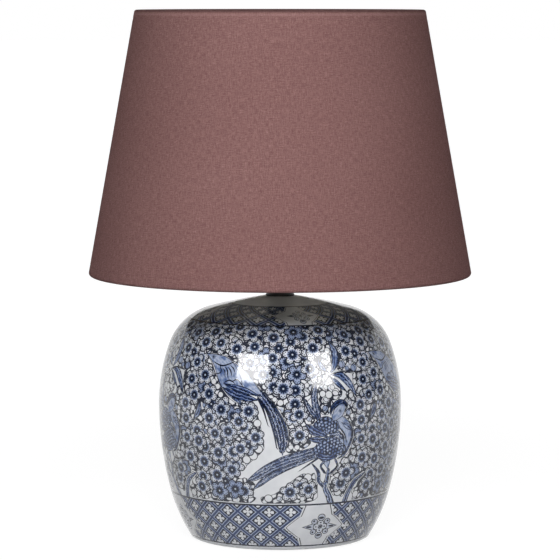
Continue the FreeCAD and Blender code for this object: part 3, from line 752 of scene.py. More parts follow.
class PrintSheet:
    # where each corner of the jar's faces lies on the print, and the layers of motifs over it
    def __init__(self, mesh):
        self.mesh = mesh
        place, self.face, count = faceCorners(mesh)
        place /= mm
        centre = np.stack([np.bincount(self.face, place[:, k]) / count for k in range(3)], -1)
        self.faceAngle = np.arctan2(centre[:, 0], -centre[:, 1])
        angle = np.arctan2(place[:, 0], -place[:, 1])
        self.turn = wrapped(angle - self.faceAngle[self.face], 2 * math.pi)
        self.angle = self.faceAngle[self.face] + self.turn
        self.faceUp, self.up = [self.alongSide(p) for p in (centre, place)]

    def alongSide(self, points):
        # mm up the jar's side by height, or far below zero for a point that isn't on the outside
        radius = np.hypot(points[:, 0], points[:, 1])
        up = np.interp(points[:, 2], sideHeight, sideLength)
        expected = np.interp(points[:, 2], sideHeight, sideRadius)
        return np.where(radius > expected - 1.0, up, -farAway)

    def store(self, name, *columns):
        values = np.zeros((len(self.face), 3), np.float32)
        for k, column in enumerate(columns):
            values[:, k] = column
        self.mesh.attributes.new(name, "FLOAT_VECTOR", "CORNER").data.foreach_set("vector", values.ravel())

    def local(self, angle, up):
        # mm around and up from a spot, for the repeat that is nearest to each face
        nearest = wrapped(self.faceAngle - angle, quarter)[self.face] + self.turn
        return nearest * radiusAt(up), self.up - up

    def discs(self, name, motifs, layers, reach=1.06):
        # each face keeps the topmost discs that touch it, as places within the disc and a tone
        stack = [np.tile(np.float32([9, 9, 0]), (len(self.face), 1)) for _ in range(layers)]
        for angle, up, radius, turn, tone in motifs:
            x, y = self.local(angle, up)
            inside = np.hypot(x, y) < radius * reach
            hit = (np.bincount(self.face, inside) > 0)[self.face]
            for k in range(layers - 1, 0, -1):
                stack[k][hit] = stack[k - 1][hit]
            x, y = x[hit] / radius, y[hit] / radius
            stack[0][hit, 0] = x * math.cos(turn) + y * math.sin(turn)
            stack[0][hit, 1] = y * math.cos(turn) - x * math.sin(turn)
            stack[0][hit, 2] = tone
        for k, layer in enumerate(stack):
            self.store(f"{name}{k}", *layer.T)

    def ribbons(self, name, drawn, layers):
        # as discs, for strokes: the way along, the way across and the half width, and then the style
        place = [np.tile(np.float32([0, 9, -9]), (len(self.face), 1)) for _ in range(layers)]
        look = [np.zeros((len(self.face), 3), np.float32) for _ in range(layers)]
        for style, path in drawn:
            middle = (path[:, :2].min(0) + path[:, :2].max(0)) / 2
            reach = (path[:, :2].max(0) - path[:, :2].min(0)) / 2 + path[:, 2].max() + 3
            x = wrapped(self.faceAngle * widest - middle[0], repeatWidth)[self.face] + self.turn * widest
            y = self.up - middle[1]
            near = np.flatnonzero((abs(x) < reach[0]) & (abs(y) < reach[1]))
            spots = np.column_stack([x[near], y[near]]) + middle
            off = spots[:, None, :] - path[None, :, :2]
            best = np.argmin(np.hypot(off[..., 0], off[..., 1]), axis=1)
            way = np.gradient(path[:, :2], axis=0)
            way /= np.linalg.norm(way, axis=1)[:, None]
            travelled = np.concatenate([[0], np.cumsum(np.hypot(*np.diff(path[:, :2], axis=0).T))])
            off = off[np.arange(len(near)), best]
            t = way[best]
            along = (off * t).sum(1)
            across = off[:, 0] * -t[:, 1] + off[:, 1] * t[:, 0]
            end = (best == 0) | (best == len(path) - 1)
            across = np.where(end, np.copysign(np.hypot(across, along), across), across)
            half = path[best, 2]
            touched = np.zeros(len(self.face), bool)
            touched[near] = abs(across) < half + 0.3
            hit = (np.bincount(self.face, touched) > 0)[self.face]
            hit[np.setdiff1d(np.flatnonzero(hit), near, assume_unique=True)] = False
            rows = hit[near]
            for k in range(layers - 1, 0, -1):
                place[k][hit] = place[k - 1][hit]
                look[k][hit] = look[k - 1][hit]
            place[0][near[rows], 0] = (travelled[best] + along)[rows]
            place[0][near[rows], 1] = across[rows]
            place[0][near[rows], 2] = half[rows]
            look[0][hit] = styles[style][:3]
        for k in range(layers):
            self.store(f"{name}Place{k}", *place[k].T)
            self.store(f"{name}Look{k}", *look[k].T)


def clutterField():
    # above zero where the small background leaves are drawn: near flowers and clear of strokes
    spots = np.stack(np.meshgrid(fieldAround, fieldUp, indexing="ij"), -1)
    nearest = np.full(spots.shape[:2], farAway)
    for angle, up, radius, _, _ in blossoms + buds:
        across = wrapped(spots[..., 0] - angle * widest, repeatWidth) * radiusAt(up) / widest
        nearest = np.minimum(nearest, np.hypot(across, spots[..., 1] - up) - radius)
    return np.minimum.reduce([3.4 - nearest, strokeField + 0.6, bareField - 1.4,
                              spots[..., 1] - printing["lowBand"][1] - 1.6])


def placePrint(piece):
    sheet = PrintSheet(piece.data)
    clutter = fieldAt(clutterField(), sheet.angle * widest, np.maximum(sheet.up, 0))
    sheet.store("jarPlace", sheet.angle, sheet.up, clutter)
    sheet.discs("blossom", blossoms, printing["blossomLayers"])
    sheet.discs("bud", buds, printing["budLayers"])
    sheet.ribbons("stroke", strokes, printing["strokeLayers"])
    sheet.discs("eye", [(x / widest, y, r, 0.0, 1.0) for x, y, r in eyes], 1, 1.3)


class Ink:
    # what is painted so far at a spot: dark line and blue wash, each from 0 to 1
    def __init__(self, line, wash):
        self.line = line
        self.wash = wash

    def under(self, cover, line, wash):
        # a motif painted over it where cover is 1
        bare = 1 - cover
        return Ink(self.line * bare + line * cover, self.wash * bare + wash * cover)


def blossomInk(glaze, layer, below):
    # five round petals, a dark rayed eye with a white dot, and three dots near each petal's tip
    x, y, tone = glaze.stored(f"blossom{layer}")
    reach = glaze.length(x, y)
    angle = glaze.math("ARCTAN2", y, x)
    fold = abs((angle * (5 / (2 * math.pi)) + 0.5).fraction() - 0.5) * (2 * math.pi / 5)
    px, py = reach * fold.cosine(), reach * fold.sine()
    petal = (glaze.length(px - 0.61, py) - 0.385).least(reach - 0.66)
    cover = petal.rise(0.012, -0.012)
    outline = petal.rise(-0.125, -0.095)
    rays = abs((angle * (12 / (2 * math.pi))).fraction() - 0.5) * 2
    eye = (reach - rays * rays * 0.26).rise(0.33, 0.26)
    halo = reach.rise(0.66, 0.28)
    dot = reach.rise(0.11, 0.07)
    dots = glaze.length(px - 0.80, py).least(glaze.length(px - 0.68, py - 0.15)).rise(0.07, 0.04)
    line = outline.most(eye).most(dots * 0.9).most(halo * 0.35) * (1 - dot)
    wash = (halo * 0.70).most(tone.rise(0.70, 1.05) * 0.42 + 0.07) * (1 - dot * 0.8)
    return below.under(cover, line, wash)


def budInk(glaze, name, below, filled=0.0):
    # a round bud with an outline and one fold inside it
    x, y, tone = glaze.stored(name)
    reach = glaze.length(x, y)
    outline = reach.rise(0.78, 0.84)
    fold = glaze.length(x - 0.55, y - 0.25).line(0.95, 0.11) * tone.rise(0.55, 0.6) * 0.8
    cover = reach.rise(1.0, 0.95)
    line = outline.most(fold).most(reach.rise(0.5, 0.42) * filled)
    return below.under(cover, line, tone.rise(0.6, 1.0) * 0.4)


def strokeInk(glaze, layer, below, grain, blot):
    # a ribbon with dark edges, streaked along its way, barbed like a feather or set with rows of scales
    along, across, half = glaze.stored(f"strokePlace{layer}")
    tone, streak, scales = glaze.stored(f"strokeLook{layer}")
    depth = half - abs(across)
    cover = depth.rise(-0.08, 0.08)
    outline = depth.rise(0.75, 0.50)
    streaks = abs((across / 2.7 + grain * 1.6 + along * 0.012 + 0.5).fraction() - 0.5)
    dark = streaks.rise(0.25, 0.14) * streak * (0.35 + grain.rise(0.40, 0.55))
    light = streaks.rise(0.33, 0.42) * streak * 0.60
    row = along / 3.0 + grain * 1.1
    shift = (row * 0.5).floor() - row.floor() * 0.5
    sx, sy = row.fraction() - 0.5, (across / 3.2 + shift + grain * 0.9).fraction() - 0.5
    ring = glaze.length(sx + 0.15, sy)
    scaled, barbed = scales.most(0.0), (0 - scales).most(0.0)
    scaleEdge = ring.rise(0.34, 0.46) * scaled
    scaleSpot = ring.rise(0.36, 0.08) * scaled
    barb = abs(((along + abs(across) * 1.5) / 2.1 + grain * 1.2).fraction() - 0.5).rise(0.22, 0.08) * barbed
    line = outline.most(dark.least(0.95)).most(scaleEdge * 0.90).most(barb * 0.80)
    wash = (tone * (0.62 + grain * 0.6) + blot * 0.40 - light - scaleSpot * 0.45).most(0.0)
    return below.under(cover, line, wash)


def latticeInk(glaze, angle, up, band, rhombi, panel, below):
    # crossed blue strips with pale edges, a white quatrefoil on navy in each rhombus,
    # and the white panels over them
    low, high = band
    count, row = rhombi
    width, height = printing["rhombus"]
    u = angle * (count / (2 * math.pi))
    v = (up - row) / height
    a = (u + v + 0.5).fraction() - 0.5
    b = (u - v + 0.5).fraction() - 0.5
    strip = abs(a).most(abs(b))
    x, y = abs(a + b) * (width / 2), abs(a - b) * (height / 2)
    petal = glaze.length(x.most(y) - 2.75, x.least(y)) - 1.55
    heart = x + y - 1.9
    white = petal.least(heart).rise(0.2, -0.1)
    inside = strip.rise(0.365, 0.345)
    pale = strip.line(0.392, 0.040)
    middle = strip.rise(0.43, 0.46)
    line = (inside * 0.93).most(middle * 0.30) * (1 - white)
    wash = (1.0 - pale * 0.72) * (1 - white)
    cover = (up - low).rise(-0.1, 0.1) * (high - up).rise(-0.1, 0.1)
    ink = below.under(cover, line, wash)

    # each panel's half width falls along a bulging curve to a small step, and then to its cut end
    pu = (((angle - math.radians(panel[0])) / quarter + 0.5).fraction() - 0.5) * (quarter * widest * 0.84)
    py = up - panel[1]
    t = abs(py) / ((high - low) / 2)
    step = t.rise(0.48, 0.54)
    reach = (29.5 - 11.7 * (2 * t) ** 1.1) * (1 - step) + (19.8 - 7 * t) * step
    edge = reach - abs(pu)
    ink = ink.under(cover * edge.rise(-0.2, 0.0), edge.line(1.7, 0.55) * 0.95, 0.0)
    ink = medallionInk(glaze, pu - printing["medallionShift"], py, ink, cover)
    ends = (up - low).line(0.0, 0.95).most((up - high).line(0.0, 0.95))
    return ink.under(ends, 1.0, 1.0)


def medallionInk(glaze, x, y, below, cover):
    # a leaf to each side, a curled bud above and below, four lobes between, and a small flower within
    x, y = abs(x), abs(y)
    leaf = (y + x * 0.36 - 6.4).most(6.0 - x)
    bud = glaze.length(x, y - 9.9) - 3.7
    lobe = glaze.length(x - 6.2, y - 5.6) - 3.1
    shape = leaf.least(bud).least(lobe)
    ink = below.under(cover * shape.rise(0.1, -0.1), shape.rise(-0.85, -0.60), 0.16)
    marks = (glaze.length(x * 0.55, y - 9.4) - 1.3).least(glaze.length(x - 6.6, y - 6.0) - 1.0)
    marks = marks.least(glaze.length((x - 11.2) * 0.36, y) - 0.95)
    ink = ink.under(cover * marks.rise(0.2, -0.2), 0.95, 0.8)
    flower = glaze.length(x.most(y) - 3.7, x.least(y)) - 3.3
    ink = ink.under(cover * flower.rise(0.1, -0.1), flower.rise(-0.75, -0.5), 0.08)
    reach = glaze.length(x, y)
    dots = glaze.length(x.most(y) - 4.2, x.least(y)) - 0.7
    heart = (reach.line(1.9, 0.5)).most(reach.rise(0.8, 0.5)).most(dots.rise(0.2, -0.1))
    return ink.under(cover * heart, 1.0, 1.0)


def glazeFinish():
    # white glaze over the painted print; the ink is navy, and the wash is a paler cobalt blue
    glaze = Finish("jarGlaze", Specular_IOR_Level=0.60, IOR=1.5)
    spot = glaze.place()
    angle, up, clutter = glaze.stored("jarPlace")
    grain = glaze.noise(spot, 420.0, 3.0)
    patches = glaze.noise(spot, 34.0, 2.0)
    swirl = {"Vector": spot, "Scale": 260.0, "Detail": 1.0}
    swirl = glaze.node("ShaderNodeTexNoise", inputs=swirl, output="Color")
    warp = glaze.node("ShaderNodeVectorMath", {"operation": "SCALE"}, {0: swirl, "Scale": 0.0016})
    bent = glaze.node("ShaderNodeVectorMath", {"operation": "ADD"}, {0: spot, 1: warp})
    border = glaze.cells(bent, 165.0, "DISTANCE_TO_EDGE")
    dense = patches.rise(0.43, 0.60)
    thick = 0.082 + dense * 0.06
    veins = (border - thick).rise(0.035, 0.0)
    core = glaze.cells(bent, 165.0)
    knots = (core + dense * 0.08).rise(0.75, 0.80)
    shade = glaze.noise(spot, 150.0, 1.0)
    edge = clutter.rise(0.0, 0.12)
    contour = clutter.line(0.3, 0.34)
    ink = Ink(veins.most(knots).most(contour) * edge, shade.rise(0.55, 0.8) * 0.45 * edge)
    for layer in reversed(range(printing["budLayers"])):
        ink = budInk(glaze, f"bud{layer}", ink)
    for layer in reversed(range(printing["blossomLayers"])):
        ink = blossomInk(glaze, layer, ink)
    for layer in reversed(range(printing["strokeLayers"])):
        ink = strokeInk(glaze, layer, ink, grain, shade.rise(0.5, 0.72))
    ink = budInk(glaze, "eye0", ink, 1.0)
    for level in ("low", "high"):
        band, rhombi, panel = [printing[level + part] for part in ("Band", "Rhombi", "Panel")]
        ink = latticeInk(glaze, angle, up, band, rhombi, panel, ink)
    lowest, highest = printing["lowBand"][0], printing["highBand"][1]
    printed = (up - lowest).rise(-0.8, -0.6) * (highest - up).rise(-0.8, -0.6)
    line, wash = ink.line * printed, ink.wash * printed * (0.82 + patches * 0.36)
    body = glaze.colours(glaze.noise(spot, 90.0, 2.0), printing["white"])
    washed = glaze.colours(wash, printing["washes"])
    tinted = glaze.mix(1.0, body, washed, "MULTIPLY")
    navy = glaze.mix(patches, *printing["navy"])
    painted = glaze.mix(line.rise(0.05, 0.70) * 0.97, tinted, navy)
    bare = up.rise(-0.2, 0.3)
    clay = glaze.colours(glaze.noise(spot, 700.0), printing["clay"])
    ripple = glaze.noise(spot, 28.0, 1.0) + glaze.noise(spot, 160.0, 1.0) * 0.12
    return glaze.set(
        Base_Color=glaze.mix(bare, clay, painted),
        Roughness=0.62 - bare * (0.545 - grain * 0.03),
        Normal=glaze.bump(ripple, 0.0011, 0.35),
    )


def makeJar():
    piece = jarMesh()
    placePrint(piece)
    add(piece, glazeFinish(), "base", "jar_glaze", "jar_body")
    print("jar made:", len(piece.data.polygons), "faces")


makeJar()


shade = dict(
    wire=2.0,
    cloth=0.6,
    lining=0.4,
    liningSetback=2.6,
    topWrap=185.0,
    bottomWrap=-125.0,
    hem=6.5,
    crease=0.16,
    seam=11.0,
    seamStep=0.35,
    liningSeam=14.0,
    liningStep=0.3,
    turned=0.012,  # metres of cloth turned over each wire
    columns=288,
    liningColours=[(0.3, paint(208, 202, 191)), (0.7, paint(224, 219, 209))],
)

weave = dict(
    pitch=0.00062,  # metres from thread to thread
    wander=1.4,
    weftSlubs=(210.0, 1150.0, 1.0),
    warpSlubs=(1150.0, 170.0, 1.0),
    colours=[(0.34, paint(86, 56, 55)), (0.62, paint(127, 91, 89)), (0.90, paint(170, 134, 131))],
    # colours of the painted shade over the top wire and of the painted highlight just below it
    edge=paint(78, 58, 57),
    rimHighlight=paint(170, 136, 133),
)


def ringPlace(node):
    # radius and height of a wire ring, to the middle of its wire
    radius, low, high = span(node)
    return radius - shade["wire"], (low + high) / 2


shade["bottom"] = ringPlace("shade_bottom_ring")
shade["top"] = ringPlace("shade_top_ring")
shade["lean"] = math.atan2(shade["bottom"][0] - shade["top"][0], shade["top"][1] - shade["bottom"][1])


def aroundWire(end, distance, degrees):
    # a point at a distance from a wire's middle, by its angle above the way outwards
    angle = math.radians(degrees)
    return (shade[end][0] + distance * math.cos(angle), shade[end][1] + distance * math.sin(angle))


def wrapArc(end, distance, first, last, count=14):
    return [aroundWire(end, distance, a) for a in np.linspace(first, last, count)]


def seamProfile(angles, points, width, fade):
    # 1 across a lapped seam at the back, with a sharp free edge and a fade at its other side;
    # and the mm across from that edge
    off = wrapped(angles - math.pi, 2 * math.pi) * points[:, :1]
    return 1 / (1 + np.exp(-off / 0.25)) / (1 + np.exp((off - width) / fade)), off


def clothPiece():
    # a tapered wall of cloth, drawn over the top wire and under the bottom one, with a lapped seam
    # at the back; near each end a shallow crease shows where the turned hem stops
    lean, hem = math.degrees(shade["lean"]), shade["hem"]
    outer, inner = shade["wire"] + shade["cloth"], shade["wire"]
    low, high = np.array(aroundWire("bottom", outer, lean)), np.array(aroundWire("top", outer, lean))
    length = np.hypot(*(high - low))
    creases = (hem, length - hem)
    fine = np.linspace(-1.5, 1.5, 9)
    steps = np.unique(np.concatenate([np.linspace(0, length, 60), *(at + fine for at in creases)]))
    groove = sum(np.exp(-((steps - at) / 0.55) ** 2) for at in creases)
    out = np.array([math.cos(shade["lean"]), math.sin(shade["lean"])])
    wall = low + (high - low) * (steps / length)[:, None] - out * (groove * shade["crease"])[:, None]
    profile = np.vstack([
        wall,
        wrapArc("top", outer, lean, shade["topWrap"])[1:],
        wrapArc("top", inner, shade["topWrap"], lean),
        wrapArc("bottom", inner, lean, shade["bottomWrap"]),
        wrapArc("bottom", outer, shade["bottomWrap"], lean)[:-1],
    ])
    onWall = np.arange(len(profile))[:, None] < len(wall)

    def lap(angles, points):
        # the free edge stands proud, with a slight dip beside it
        proud, off = seamProfile(angles, points, shade["seam"], 2.5)
        return (proud - 0.5 * np.exp(-((off + 0.4) / 0.5) ** 2)) * shade["seamStep"] * onWall

    piece = solid("shade_cloth", spun(profile, shade["columns"], lap), sharp=60)
    rollOut(piece.data)
    return piece


def rollOut(mesh):
    # the flat cut as a UV map: the cone rolled out, in metres from its apex
    place, face, count = faceCorners(mesh)
    angle = np.arctan2(place[:, 0], -place[:, 1])
    first = angle[np.cumsum(count) - count][face]
    angle = first + wrapped(angle - first, 2 * math.pi)
    apex = shade["bottom"][1] * mm + shade["bottom"][0] * mm / math.tan(shade["lean"])
    slant = (apex - place[:, 2]) / math.cos(shade["lean"])
    rolled = angle * math.sin(shade["lean"])
    flat = np.column_stack([slant * np.sin(rolled), -slant * np.cos(rolled)])
    mesh.uv_layers.new(name="cut").data.foreach_set("uv", flat.astype(np.float32).ravel())


def clothFinish():
    # fine plain weave on the flat cut: threads go over and under by turns, and slubs run both ways
    cloth = Finish("shadeCloth", Roughness=0.95, Specular_IOR_Level=0.03)
    cut = cloth.node("ShaderNodeUVMap", {"uv_map": "cut"})
    u, v, _ = cloth.parts(cut)
    rows, columns = [
        way / weave["pitch"] + cloth.noise(cloth.stretched(cut, drift), 1.0, 2.0) * weave["wander"]
        for way, drift in ((v, (9.0, 120.0, 1.0)), (u, (120.0, 9.0, 1.0)))
    ]
    weft, warp = [abs((threads * math.pi).sine()) for threads in (rows, columns)]
    over = ((rows.floor() + columns.floor()) * 0.5).fraction() * 2
    thread = weft * over + warp * (1 - over)
    weftSlubs, warpSlubs = [cloth.noise(cloth.stretched(cut, weave[name]), 1.0, 2.0, 0.6)
                            for name in ("weftSlubs", "warpSlubs")]
    fuzz = cloth.noise(cut, 1150.0, 2.0)
    cloud = cloth.noise(cut, 9.0, 2.0)
    tone = thread * 0.20 + weftSlubs * 0.35 + warpSlubs * 0.35 + fuzz * 0.30 + cloud * 0.06
    colour = cloth.colours(tone, weave["colours"])
    # painted light at the top rim: painted shade makes the cloth darker over the top wire, and a painted
    # highlight makes a paler line just below it
    drop = (cadBox[1].z - cloth.parts(cloth.place())[2]) / mm
    colour = cloth.mix(drop.line(3.9, 1.3) * 0.25, colour, weave["rimHighlight"])
    colour = cloth.mix(drop.rise(2.3, 1.4) * 0.60, colour, weave["edge"])
    relief = thread * 0.6 + weftSlubs * 0.8 + warpSlubs * 0.4
    return cloth.set(Base_Color=colour, Normal=cloth.bump(relief, 0.00022, 0.8))


def liningPiece():
    # a stiff inner sheet between the wires, with an overlapped seam at the back
    lean, setback = shade["lean"], shade["liningSetback"]
    out = np.array([math.cos(lean), math.sin(lean)])
    up = np.array([-math.sin(lean), math.cos(lean)])
    low, high = np.array(shade["bottom"]) + up * setback, np.array(shade["top"]) - up * setback
    wall = low + (high - low) * np.linspace(0, 1, 24)[:, None]
    inner = (wall + out * (shade["wire"] - shade["lining"]))[::-1]
    profile = np.vstack([wall + out * shade["wire"], inner])
    inside = np.arange(len(profile))[:, None] >= len(wall)

    def lap(angles, points):
        return -shade["liningStep"] * inside * seamProfile(angles, points, shade["liningSeam"], 0.25)[0]

    return solid("shade_lining", spun(profile, 240, lap), sharp=40)


def liningFinish():
    lining = Finish("shadeLining", Specular_IOR_Level=0.35)
    spot = lining.place()
    fibre = lining.noise(spot, 900.0, 3.0)
    cloud = lining.noise(spot, 22.0, 2.0)
    return lining.set(
        Base_Color=lining.colours(fibre * 0.35 + cloud * 0.65, shade["liningColours"]),
        Roughness=0.48 + fibre * 0.2,
        Normal=lining.bump(fibre, 0.0001, 0.5),
    )


def makeShade():
    cloth = add(clothPiece(), clothFinish(), "shade", "shade_cloth", "shade_fabric")
    add(liningPiece(), liningFinish(), "shade", "shade_lining", "shade_liner")


makeShade()


def metalFinish(name, dark, light, roughness, brush=(1.0, 1.0, 1.0)):
    # metal with fine brush marks across brush, fingerprints and small pits
    metal = Finish(name, Metallic=1.0)
    spot = metal.place()
    marks = metal.noise(metal.stretched(spot, tuple(900.0 * b for b in brush)), 1.0, 3.0)
    smear = metal.noise(spot, 60.0, 2.0)
    pits = metal.cells(spot, 1400.0).rise(0.16, 0.05)
    return metal.set(
        Base_Color=metal.colours(marks * 0.4 + smear * 0.6, [(0.3, paint(*dark)), (0.7, paint(*light))]),
        Roughness=roughness + smear * 0.12 + marks * 0.06,
        Normal=metal.bump(marks - pits * 0.4, 0.00002, 0.6),
    )


def mouldedFinish(name, dark, light, roughness, grainScale=1800.0, depth=0.00003):
    # moulded plastic, rubber, ceramic or paint: a fine texture and faint clouding
    moulded = Finish(name, Specular_IOR_Level=0.45)
    spot = moulded.place()
    grain = moulded.noise(spot, grainScale, 3.0)
    cloud = moulded.noise(spot, 70.0, 2.0)
    return moulded.set(
        Base_Color=moulded.colours(grain * 0.5 + cloud * 0.5, [(0.3, paint(*dark)), (0.7, paint(*light))]),
        Roughness=roughness + cloud * 0.10 + grain * 0.08,
        Normal=moulded.bump(grain, depth, 0.5),
    )


# darker and lighter colour, roughness, then grain and its depth, or the brush marks of a metal
neckPaint = mouldedFinish("neckPaint", (26, 22, 20), (42, 36, 33), 0.24, 900.0, 0.00005)
zinc = metalFinish("zincPlate", (158, 160, 162), (192, 194, 196), 0.30)
brass = metalFinish("contactBrass", (190, 152, 84), (216, 182, 112), 0.24)
capMetal = metalFinish("capAluminium", (188, 189, 192), (212, 213, 215), 0.26, (0.5, 0.5, 3.0))
blackPlastic = mouldedFinish("holderPlastic", (22, 22, 23), (34, 34, 36), 0.34)
blackRubber = mouldedFinish("blackRubber", (24, 24, 24), (38, 38, 38), 0.62, 900.0, 0.00008)
felt = mouldedFinish("feltPad", (112, 111, 108), (168, 166, 160), 0.85, 1300.0, 0.0006)
ceramicBlock = mouldedFinish("holderCeramic", (206, 200, 188), (224, 219, 208), 0.5)
whitePaint = mouldedFinish("wirePaint", (214, 214, 211), (228, 228, 226), 0.30, 700.0, 0.00012)
bulbPlastic = mouldedFinish("bulbPlastic", (226, 226, 224), (236, 236, 234), 0.25)
opal = mouldedFinish("bulbOpal", (236, 236, 232), (244, 244, 241), 0.38, 500.0, 0.00001)
blackGloss = mouldedFinish("bulbInsulator", (16, 16, 20), (26, 26, 30), 0.16)

dress(zinc, "base_steel_washer", "base_lock_nut", "threaded_rod", "neck_lock_nut", "holder_grub_screw")
dress(blackRubber, "base_rubber_washer", "neck_gasket")
dress(blackPlastic, "lampholder_cap")
dress(ceramicBlock, "lampholder_insert")
dress(brass, "terminal_screws", "side_contact", "socket_screw_shell", "centre_contact")
dress(capMetal, "bulb_led_plate", "bulb_tip_contact")
dress(blackGloss, "bulb_insulator")
dress(whitePaint, "shade_top_ring", "shade_bottom_ring")
print("finishes made and the kept solids dressed")

neck = dict(wall=1.2, tubeSoft=0.35, capBore=5.2, capSoft=0.4)


def makeNeck():
    # two turned outlines with rounded corners: the tube, and the cap with a chamfer at each end
    radius, low, high = span("neck_tube")
    bore = radius - neck["wall"]
    tubeShape = softened([(bore, low), (radius, low), (radius, high), (bore, high)], neck["tubeSoft"])
    add(solid("neck_sleeve", spun(tubeShape, 96)), neckPaint, "base", "neck_metal", "neck_tube")
    radius, low, high = span("neck_cap")
    bore = neck["capBore"]
    capShape = softened([(bore, low), (radius - 0.5, low), (radius, low + 0.6), (radius, high - 0.9),
                         (radius - 1.2, high), (bore, high)], neck["capSoft"])
    add(solid("neck_cover", spun(capShape, 96)), neckPaint, "base", "neck_metal", "neck_cap")
    print("neck made")


makeNeck()

foot = dict(padSoft=0.5, ragged=0.18, bushBore=3.5, bushSleeve=5.0, lip=1.6, bushSoft=0.45)


def makeFoot():
    # the felt pad, a little uneven at its cut edge, and the lipped bush of the cord inlet
    radius, low, high = span("base_pad")
    pad = softened([(0, low), (radius, low), (radius, high), (0, high)], foot["padSoft"], closed=False)

    def ragged(angles, points):
        wave = 1 + np.sin(angles * 57) * np.sin(angles * 23 + 1)
        return -foot["ragged"] * wave * (points[:, :1] > radius - 2)

    add(solid("felt_pad", spun(pad, 256, ragged), closedRows=False), felt, "base", "foot_pad", "base_pad")

    near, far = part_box("cord_grommet")
    bore, sleeve, rim = foot["bushBore"], foot["bushSleeve"], far.x / mm
    start, end = near.y / mm, far.y / mm
    ledge = end - foot["lip"]
    shape = softened([(bore, start), (sleeve, start), (sleeve, ledge), (rim, ledge), (rim, end), (bore, end)],
                     foot["bushSoft"])
    grid = spun(shape, 64)
    grid = np.stack([grid[..., 0], grid[..., 2], -grid[..., 1] + jar["inletHeight"] * mm], -1)
    add(solid("inlet_bush", grid), blackRubber, "base", "black_rubber", "cord_grommet")
    print("foot made")


makeFoot()

holder = dict(
    skirt=19.7,
    skirtBore=18.0,
    mouth=15.6,
    waist=17.0,
    ledge=2.0,  # up from the skirt's lower end
    shoulder=2.5,
    socket=25.0,  # down from the mouth
    pitch=2.5,
    threadDepth=0.6,
)


def threadSwell(low, high, pitch, depth):
    # a helical thread: the radius drops between turns, and the thread runs out at both ends
    def swell(angles, points):
        height = points[:, 1:2]
        turn = (height - low) / pitch - angles / (2 * math.pi)
        wave = 0.5 + 0.5 * np.cos(2 * math.pi * turn)
        held = np.clip((height - low) / pitch, 0, 1) * np.clip((high - height) / pitch, 0, 1)
        inside = (height >= low) & (height <= high)
        return -depth * (1 - wave) * held * inside
    return swell


def makeHolder():
    # the outer shell: skirt, shoulder and a barrel with a helical thread for the clamping ring
    low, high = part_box("lampholder_shell")
    bottom, top, shoulder = low.z / mm, high.z / mm, high.x / mm
    capTop = span("lampholder_cap")[2]
    skirt, inner, mouth, waist = [holder[name] for name in ("skirt", "skirtBore", "mouth", "waist")]
    ledge = bottom + holder["ledge"]
    rest = ledge + holder["shoulder"]
    socket = top - holder["socket"]
    barrel = [(skirt, z) for z in np.arange(rest + 0.6, top - 1.0, 0.28)]
    below = [(inner, bottom), (skirt, bottom), (skirt, ledge), (shoulder, ledge), (shoulder, rest),
             (skirt, rest), barrel[0]]
    above = [barrel[-1], (skirt, top), (mouth, top), (mouth, socket), (waist, socket), (waist, capTop),
             (inner, capTop), (inner, bottom)]
    corners = np.vstack([softened(below, 0.4, closed=False)[:-1], barrel,
                         softened(above, 0.5, closed=False)[1:-1]])
    onBarrel = (corners[:, :1] > skirt - 0.01) & (corners[:, 1:2] > rest + 0.5)
    cutThread = threadSwell(rest + 0.4, top - 1.2, holder["pitch"], holder["threadDepth"])

    def swell(angles, points):
        return cutThread(angles, points) * onBarrel

    shell = solid("holder_shell", spun(corners, 96, swell))
    add(shell, blackPlastic, "base", "holder_plastic", "lampholder_shell")
    print("lampholder made")


makeHolder()

clampRing = dict(bore=20.1, ribs=24, ribDepth=1.0, ribTop=6.4, columns=288)


def makeClampRing():
    # a ring with rounded finger ribs round its skirt and a chamfered lip
    radius, low, high = span("shade_clamp_ring")
    bore = clampRing["bore"]
    profile = np.vstack([
        [(bore, low + 0.4), (bore + 0.4, low)],
        [(radius - 0.5, low), (radius - 0.12, low + 0.15)],
        [(radius, z) for z in np.linspace(low + 0.5, low + 6.0, 12)],
        [(radius - 0.3, low + 6.6), (radius - 1.1, high - 0.15), (radius - 1.5, high)],
        [(bore + 0.5, high), (bore, high - 0.5)],
    ])

    def ribs(angles, points):
        # narrow grooves between broad ribs, which run out towards the lip
        groove = (0.5 - 0.5 * np.cos(angles * clampRing["ribs"])) ** 3
        fade = np.clip((low + clampRing["ribTop"] - points[:, 1:2]) / 1.2, 0, 1)
        return -clampRing["ribDepth"] * groove * (points[:, :1] > radius - 0.2) * fade

    ring = solid("clamp_ring", spun(profile, clampRing["columns"], ribs), sharp=50)
    add(ring, blackPlastic, "clamp_ring", "holder_plastic", "shade_clamp_ring")
    print("clamping ring made")


makeClampRing()

spider = dict(fitterBore=20.8, fitterSoft=0.45, start=26.0, wire=1.6, weld=0.45, bow=0.7, arms=3)


